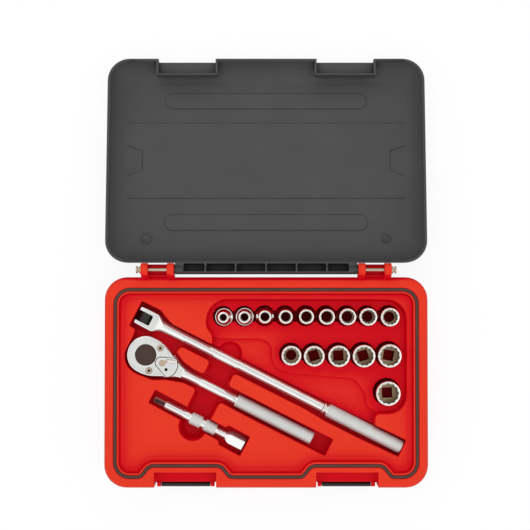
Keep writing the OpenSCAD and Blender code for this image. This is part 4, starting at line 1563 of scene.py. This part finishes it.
@dataclass(frozen=True)
class Ratchet:
    """The reversible ratchet: its head with cover, disc, screws and lever, its handle and its grip."""

    maker: Maker
    head_r: float = 22.4
    low: float = -9.0
    high: float = 8.5
    cover_z: float = 6.0
    cover_r: float = 20.2
    window_r: float = 13.4
    disc_r: float = 12.75
    screw_u: float = 12.1
    screw_v: float = 15.1
    screw_r: float = 4.0
    gear_bore_r: float = 11.54
    gear_room_r: float = 14.6
    pawl_room: Place = (10.0, 29.0, 8.0)     # its start and end along the ratchet, and its half width
    lever_u: float = 22.4
    lever_rise: float = 1.4
    lever_gap: float = 0.08
    axle_hole_r: float = 3.1
    nib: Place = (30.6, 6.5, 24.0)           # its place along and across the ratchet, and its turn
    pin_hole: Place = (30.0, -4.5, 1.9)      # its place along and across the ratchet, and its radius
    groove: float = 0.85
    grip: tuple[float, float, float] = (122, 224.5, 7.7)

    def head_plan(self) -> Plan:
        """Gives the head's outline, which narrows to the neck."""
        r = self.head_r
        return both_sides([(-r, r, r - 0.5), (11.5, r, 34), (45, 6.6, 22), (50, 5.8, 0)])

    def cover_plan(self, grown: float = 0.0) -> Plan:
        """Gives the cover plate's outline."""
        r = self.cover_r + grown
        return both_sides([(-r, r, r - 0.5), (28.6 + grown, r - 0.8, r - 1.5)])

    def fan(self, grown: float = 0.0) -> Plan:
        """Gives the reversing lever's outline: a fan that opens towards the handle."""
        g = grown
        return both_sides([(14.6 - g, 4.2 + g, 4.2 + g), (35.2 + g, 13.0 + g, 4.2 + g), (40.9 + g, 5.0, 8)])

    def lever_bed(self) -> Form:
        """Makes the bed under the lever, a little wider than the lever; its faces take dark steel painted as
        shade in the groove.
        """
        return Form.polygon(self.fan(self.groove), self.high + 1, 8).walk([(0, -2.2)]).tinted(1)

    def body(self) -> Mesh:
        """Makes the head, the neck and the shank as one steel body.

        Returns:
            The mesh.
        """
        depth = self.high - self.low
        head = Form.polygon(self.head_plan(), self.low + 1.2, 14)
        head.walk([(0, depth - 2.2)] + crown(1.0, 4), foot(1.2, 4))
        neck = Form.sections([(31, 15.4, 7.9, 3.0), (37, 12.2, 7.6, 3.6), (42, 9.3, 7.1, 4.2),
                              (47, 7.2, 6.5, 4.8), (52, 6.1, 5.9, 5.2), (57, 5.6, 5.6, 5.59),
                              (64, 5.4, 5.4, 5.39), (118, 5.35, 5.35, 5.34)])
        collar = Form.turned([(117, 0), (117, 5.2), (118, 5.35), (118.6, 6.3), (119.8, 6.3), (120.3, 5.0),
                              (121.4, 5.0), (121.5, 7.0), (122.5, 7.4), (123, 7.4), (123, 0)])
        start, end, half = self.pawl_room
        cuts = [
            Form.disc(0, 0, self.low - 1, self.gear_bore_r).walk([(0, 5)]),
            Form.disc(0, 0, self.low + 3, self.gear_room_r).walk([(0, depth)]),
            Form.polygon(self.cover_plan(0.12), self.cover_z, 12).walk([(0, 6)]),
            Form.block((start, -half, -5), (end, half, self.cover_z + 0.3)),
            self.lever_bed(),
        ]
        blank = combined("ratchet_blank", head, "UNION", [neck, collar])
        return combined("ratchet_body", blank, "DIFFERENCE", cuts)

    def cover(self) -> Mesh:
        """Makes the cover plate with its window, its screw seats and the lever's bed.

        Returns:
            The mesh.
        """
        above = self.high + 1
        plate = Form.polygon(self.cover_plan(), self.cover_z, 12).walk(
            [(0, self.high - self.cover_z - 0.35)] + crown(0.35))
        cuts = [Form.disc(0, 0, above, self.window_r).walk([(0, -1)] + roundover(0.5, 3) + [(0, -4)])]
        for side in (-1, 1):
            seat = Form.disc(self.screw_u, side * self.screw_v, above, self.screw_r + 0.5, 32)
            cuts.append(seat.walk([(0, -1)] + roundover(0.3, 2) + [(0, -1.4)]))
        cuts.append(self.lever_bed())
        cuts.append(Form.disc(self.lever_u + 0.1, 0, above, self.axle_hole_r, 32).walk([(0, -5)]))
        return combined("ratchet_cover", plate, "DIFFERENCE", cuts)

    def disc(self) -> Mesh:
        """Makes the dark disc that closes the top of the gear, with a turned rim and a shallow dish.

        Returns:
            The mesh.
        """
        low, top, r = self.cover_z, self.high - 0.2, self.disc_r
        return Form.upright([(low, 0), (low, r - 0.05), (top - 0.5, r), (top, r - 0.45), (top, 11.5),
                             (top - 0.25, 11.2), (top - 0.3, 4), (top - 0.3, 0)], 56).mesh("ratchet_disc")

    def screw(self, side: int) -> Mesh:
        """Makes one cover screw with its socket head.

        Args:
            side: -1 for the near screw, 1 for the far one.

        Returns:
            The mesh.
        """
        seat, top, r = self.cover_z + 1, self.high - 0.1, self.screw_r
        screw = Form.upright([(-1, 0), (-1, 1.5), (seat, 1.5), (seat, r - 0.05), (top - 0.5, r),
                              (top - 0.1, r - 0.4), (top, 3.1), (top - 0.1, 2.2), (top - 0.3, 2.0),
                              (top - 0.3, 0)], 36)
        # The hexagon socket takes the dark bore steel as painted shade.
        hexagon = Form.disc(0, 0, top + 1, 1.75, 6).walk([(0, -2.3)]).tinted(1)
        mesh = combined(f"cover_screw_{side}", screw, "DIFFERENCE", [hexagon])
        mesh.transform(shift(self.screw_u, side * self.screw_v))
        return mesh

    def lever(self) -> Mesh:
        """Makes the thumb lever: a fan with a dish over its axle, a raised nib and a pin hole.

        Returns:
            The mesh.
        """
        u, base, top = self.lever_u, self.high + self.lever_gap, self.high + self.lever_rise
        fan = Form.polygon(self.fan(), base, 8).walk([(0, top - base - 0.6)] + crown(0.6))
        nib = Form.sections([(-5, 1.0, 0.6, 0.5), (-4, 1.8, 1.5, 0.8), (3.5, 1.6, 1.7, 0.9),
                             (5.2, 1.0, 0.8, 0.5)], 4)
        along, across, turn = self.nib
        nib.moved(shift(along, across, top + 0.4) @ turned_by(turn, "Z"))
        axle = Form.disc(u, 0, -6, 2.0, 24).walk([(0, 5)])
        post = Form.disc(u, 0, -2, 2.96, 32).walk([(0, base + 2.2)])
        dish = Form.disc(u, 0.3, top + 0.2, 4.0, 36)
        dish.walk([(0, -0.2)] + roundover(0.5, 3) + foot(0.5)).tinted(2)
        bed = [(24.6, 1.6, 1.4), (36.6, 6.6, 1.4), (34.8, 11.2, 1.4), (24.4, 6.8, 1.4)]
        rest = Form.polygon(bed, top + 0.1).walk([(0, -0.2), (0.5, -0.3)]).tinted(2)
        along, across, radius = self.pin_hole
        hole = Form.disc(along, across, top + 0.8, radius, 24)
        # The pin hole takes the dark bore steel as painted shade.
        hole.walk([(0, -0.8)] + roundover(0.25, 2) + [(0, -1.6)]).tinted(1)
        hollowed = combined("lever_fan", fan, "DIFFERENCE", [dish, rest, hole])
        return combined("lever_cut", hollowed, "UNION", [nib, axle, post])

    def build(self) -> None:
        """Makes the ratchet's pieces in place of their CAD nodes."""
        bench = Bench(self.maker, SET.ratchet.matrix())
        make = bench.stand_in
        # The second material, the dark bore steel, paints shade into the lever's bed, the screws' sockets and
        # the lever's hole.
        make("ratchet_steel", "ratchet_body", self.body(), "ratchet", 30.0, Surface.CHROME, Surface.SHADED_BORE)
        Knurl(*self.grip).fit(bench, "ratchet_grip", "ratchet")
        make("ratchet_plate", "ratchet_cover", self.cover(), "ratchet", 30.0, Surface.CHROME, Surface.SHADED_BORE)
        make("ratchet_dark_disc", "ratchet_disc", self.disc(), "ratchet_drive", 35.0, Surface.DARK_PLATE)
        for name, side in (("near", -1), ("far", 1)):
            make(f"cover_screw_{name}", "cover_screws", self.screw(side), "ratchet", 30.0,
                 Surface.PLAIN_STEEL, Surface.SHADED_BORE)
        make("ratchet_lever", "reversing_lever", self.lever(), "ratchet_lever", 32.0, Surface.CHROME,
             Surface.SHADED_BORE, Surface.PLAIN_STEEL)
        for node in ("ratchet_gear", "ratchet_ball", "ratchet_pawl", "pawl_plunger"):
            self.maker.dress(node, Surface.PLAIN_STEEL)


@dataclass(frozen=True)
class HingedHandle:
    """The long handle: a fork that holds the swivelling square, a shank and a knurled grip."""

    maker: Maker
    pivot: float = 10.0
    slot_half: float = 6.5
    slot_end: float = 18.6
    pin_half: float = 10.6
    pin_r: float = 2.5
    bore_r: float = 2.54
    knuckle_half: float = 6.2
    knuckle_r: float = 8.0
    ball_z: float = -19.0
    grip: tuple[float, float, float] = (257.5, 357, 8.1)

    def across(self, form: Form, u: float = 0.0) -> Form:
        """Turns a form that lies along the handle across it, at a place along it."""
        return form.moved(shift(u) @ turned_by(90, "Z"))

    def body(self) -> Mesh:
        """Makes the fork and the shank as one steel body.

        Returns:
            The mesh.
        """
        fork = Form.sections([(0, 9.6, 6.4, 1.2), (0.6, 10.5, 7.4, 1.4), (1.8, 11.0, 8.0, 1.6),
                              (12, 11.2, 8.3, 1.6), (22.5, 11.3, 8.5, 2.0), (25, 10.8, 8.4, 2.6),
                              (27.5, 9.2, 8.0, 3.6), (30, 7.7, 7.4, 4.8), (32.5, 6.8, 6.8, 6.0),
                              (35.5, 6.3, 6.3, 6.29), (45, 6.0, 6.0, 5.99), (60, 5.75, 5.75, 5.74)])
        shank = Form.turned([(58, 0), (58, 5.5), (59, 5.72), (60, 5.72), (250.5, 5.6), (251.2, 6.4),
                             (251.8, 6.9), (253.4, 6.9), (253.9, 6.4), (254.2, 5.0), (255.6, 5.0),
                             (255.9, 6.9), (256.6, 7.4), (259, 7.4), (259, 0)])
        s, end = self.slot_half, self.slot_end
        slot = Form.polygon([(-3, -s, 0), (end, -s, 2), (end, s, 2), (-3, s, 0)], -15).walk([(0, 30)])
        bore = self.across(Form.rod(-20, 20, self.bore_r), self.pivot)
        blank = combined("handle_blank", fork, "UNION", [shank])
        return combined("handle_body", blank, "DIFFERENCE", [slot, bore])

    def knuckle(self) -> Mesh:
        """Makes the swivelling knuckle with the square drive below it.

        Returns:
            The mesh.
        """
        half = self.knuckle_half
        disc = self.across(Form.pin(half, self.knuckle_r, 0.5, 0.5, 56))
        square = Form.polygon(box_plan((-half, -half), (half, half), 1.1), -5).walk([(0, -20)] + foot(1.0))
        cheek = Form.block((-8, -5.6, -1.2), (8, 5.6, 1.2)).softened(0.4, 2)
        solid = combined("knuckle_solid", disc, "UNION", [square, cheek])
        bore = self.across(Form.rod(-20, 20, self.bore_r))
        hole = Form.rod(2, 8, SET.ball_hole_r, 24).moved(shift(z=self.ball_z))
        return combined("handle_knuckle", solid, "DIFFERENCE", [bore, hole])

    def build(self) -> None:
        """Makes the handle's pieces in place of their CAD nodes."""
        bench = Bench(self.maker, SET.handle.matrix())
        bench.stand_in("handle_steel", "hinged_handle", self.body(), "hinged_handle", 30.0, Surface.CHROME)
        Knurl(*self.grip).fit(bench, "handle_grip", "hinged_handle")
        at_pivot = Bench(self.maker, bench.place @ shift(self.pivot))
        at_pivot.stand_in("handle_knuckle", "handle_drive", self.knuckle(), "handle_drive", 32.0,
                          Surface.BLACK_STEEL)
        pin = self.across(Form.pin(self.pin_half, self.pin_r, 0.5, 0.4, 32), self.pivot).mesh("fork_pin")
        bench.stand_in("handle_cross_pin", "handle_pin", pin, "hinged_handle", 40.0, Surface.PLAIN_STEEL)
        self.maker.dress("handle_ball", Surface.PLAIN_STEEL)


@dataclass(frozen=True)
class Adaptor:
    """The drive adaptor: a hexagon, a shank with two knurled collars and a square with its ball."""

    maker: Maker
    hexagon: float = 6.35
    hexagon_start: float = 0.7
    hexagon_l: float = 14.3
    square_half: float = 6.35
    square_roll: float = 17.0
    ball_u: float = 111.0
    collars: tuple[tuple[str, float, float], ...] = (("first", 49.2, 63.8), ("second", 68.2, 83.2))
    collar_r: float = 7.3
    collar_chamfer: float = 0.8

    def rolled(self, turn: float = 0.0) -> Matrix:
        """Gives the square's roll about the bar, with a further turn in degrees."""
        return turned_by(self.square_roll + turn, "X")

    def body(self) -> Mesh:
        """Makes the plain parts of the bar; the hexagon's upward flat takes the black steel as a painted dark
        reflection.

        Returns:
            The mesh.
        """
        others = []
        for steps in ([(0, self.hexagon_l)], [(self.hexagon_start - 0.1, -self.hexagon_start)]):
            end = Form.disc(0, 0, self.hexagon_start, self.hexagon / math.sqrt(3), 6).walk(steps)
            # Only the flat that faces up is painted black, for the dark reflection it shows.
            others.append(end.moved(turned_by(90, "Y")).tinted(1, least_up=0.9))
        shank = Form.turned([(14.3, 0), (14.3, 4.0), (15.1, 4.8), (16, 5), (48.5, 5), (49, 5.2), (49, 6.6),
                             (50, 6.9), (63, 6.9), (64, 6.6), (64, 5.4), (68, 5.4), (68, 6.6), (69, 6.9),
                             (82.4, 6.9), (83.4, 6.6), (83.6, 5.0), (85, 4.4), (96, 4.3), (98.5, 4.8),
                             (98.5, 0)])
        h = self.square_half
        square = Form.sections([(95.4, 3.2, 3.2, 2.8), (97, 4.2, 4.2, 2.6), (99, 5.2, 5.2, 2.0),
                                (101.5, h - 0.3, h - 0.3, 1.4), (103.5, h, h, 1.2), (120.4, h, h, 1.2),
                                (121.1, h - 0.35, h - 0.35, 1.1), (121.5, h - 1.1, h - 1.1, 0.8)], 4)
        others.append(square.moved(self.rolled()))
        hole = Form.upright([(0, 0), (0, SET.ball_hole_r), (9, SET.ball_hole_r), (9, 0)], 24)
        hole.moved(shift(self.ball_u) @ self.rolled(-90))
        blank = combined("adaptor_blank", shank, "UNION", others)
        return combined("adaptor_body", blank, "DIFFERENCE", [hole])

    def build(self) -> None:
        """Makes the adaptor's pieces in place of its CAD nodes."""
        bench = Bench(self.maker, SET.adaptor.matrix())
        # The black steel here is the painted reflection on the hexagon's upward flat.
        bench.stand_in("adaptor_steel", "adaptor_bar", self.body(), "adaptor", 30.0, Surface.CHROME,
                       Surface.BLACK_STEEL)
        for name, start, end in self.collars:
            collar = Knurl(start, end, self.collar_r, self.collar_chamfer)
            collar.fit(bench, f"adaptor_collar_{name}", "adaptor")
        self.maker.dress("adaptor_ball", Surface.PLAIN_STEEL)


# ---------------------------------------------------------------- the whole set


def main() -> None:
    """Builds every sub-assembly in order."""
    logging.basicConfig(level=logging.INFO, format="%(name)s: %(message)s")
    maker = Maker(finishes())
    Studio().build()
    Case(maker).build()
    for size, place in SET.sized():
        Socket(maker, size, place).build()
    Ratchet(maker).build()
    HingedHandle(maker).build()
    Adaptor(maker).build()


if __name__ == "__main__":
    main()
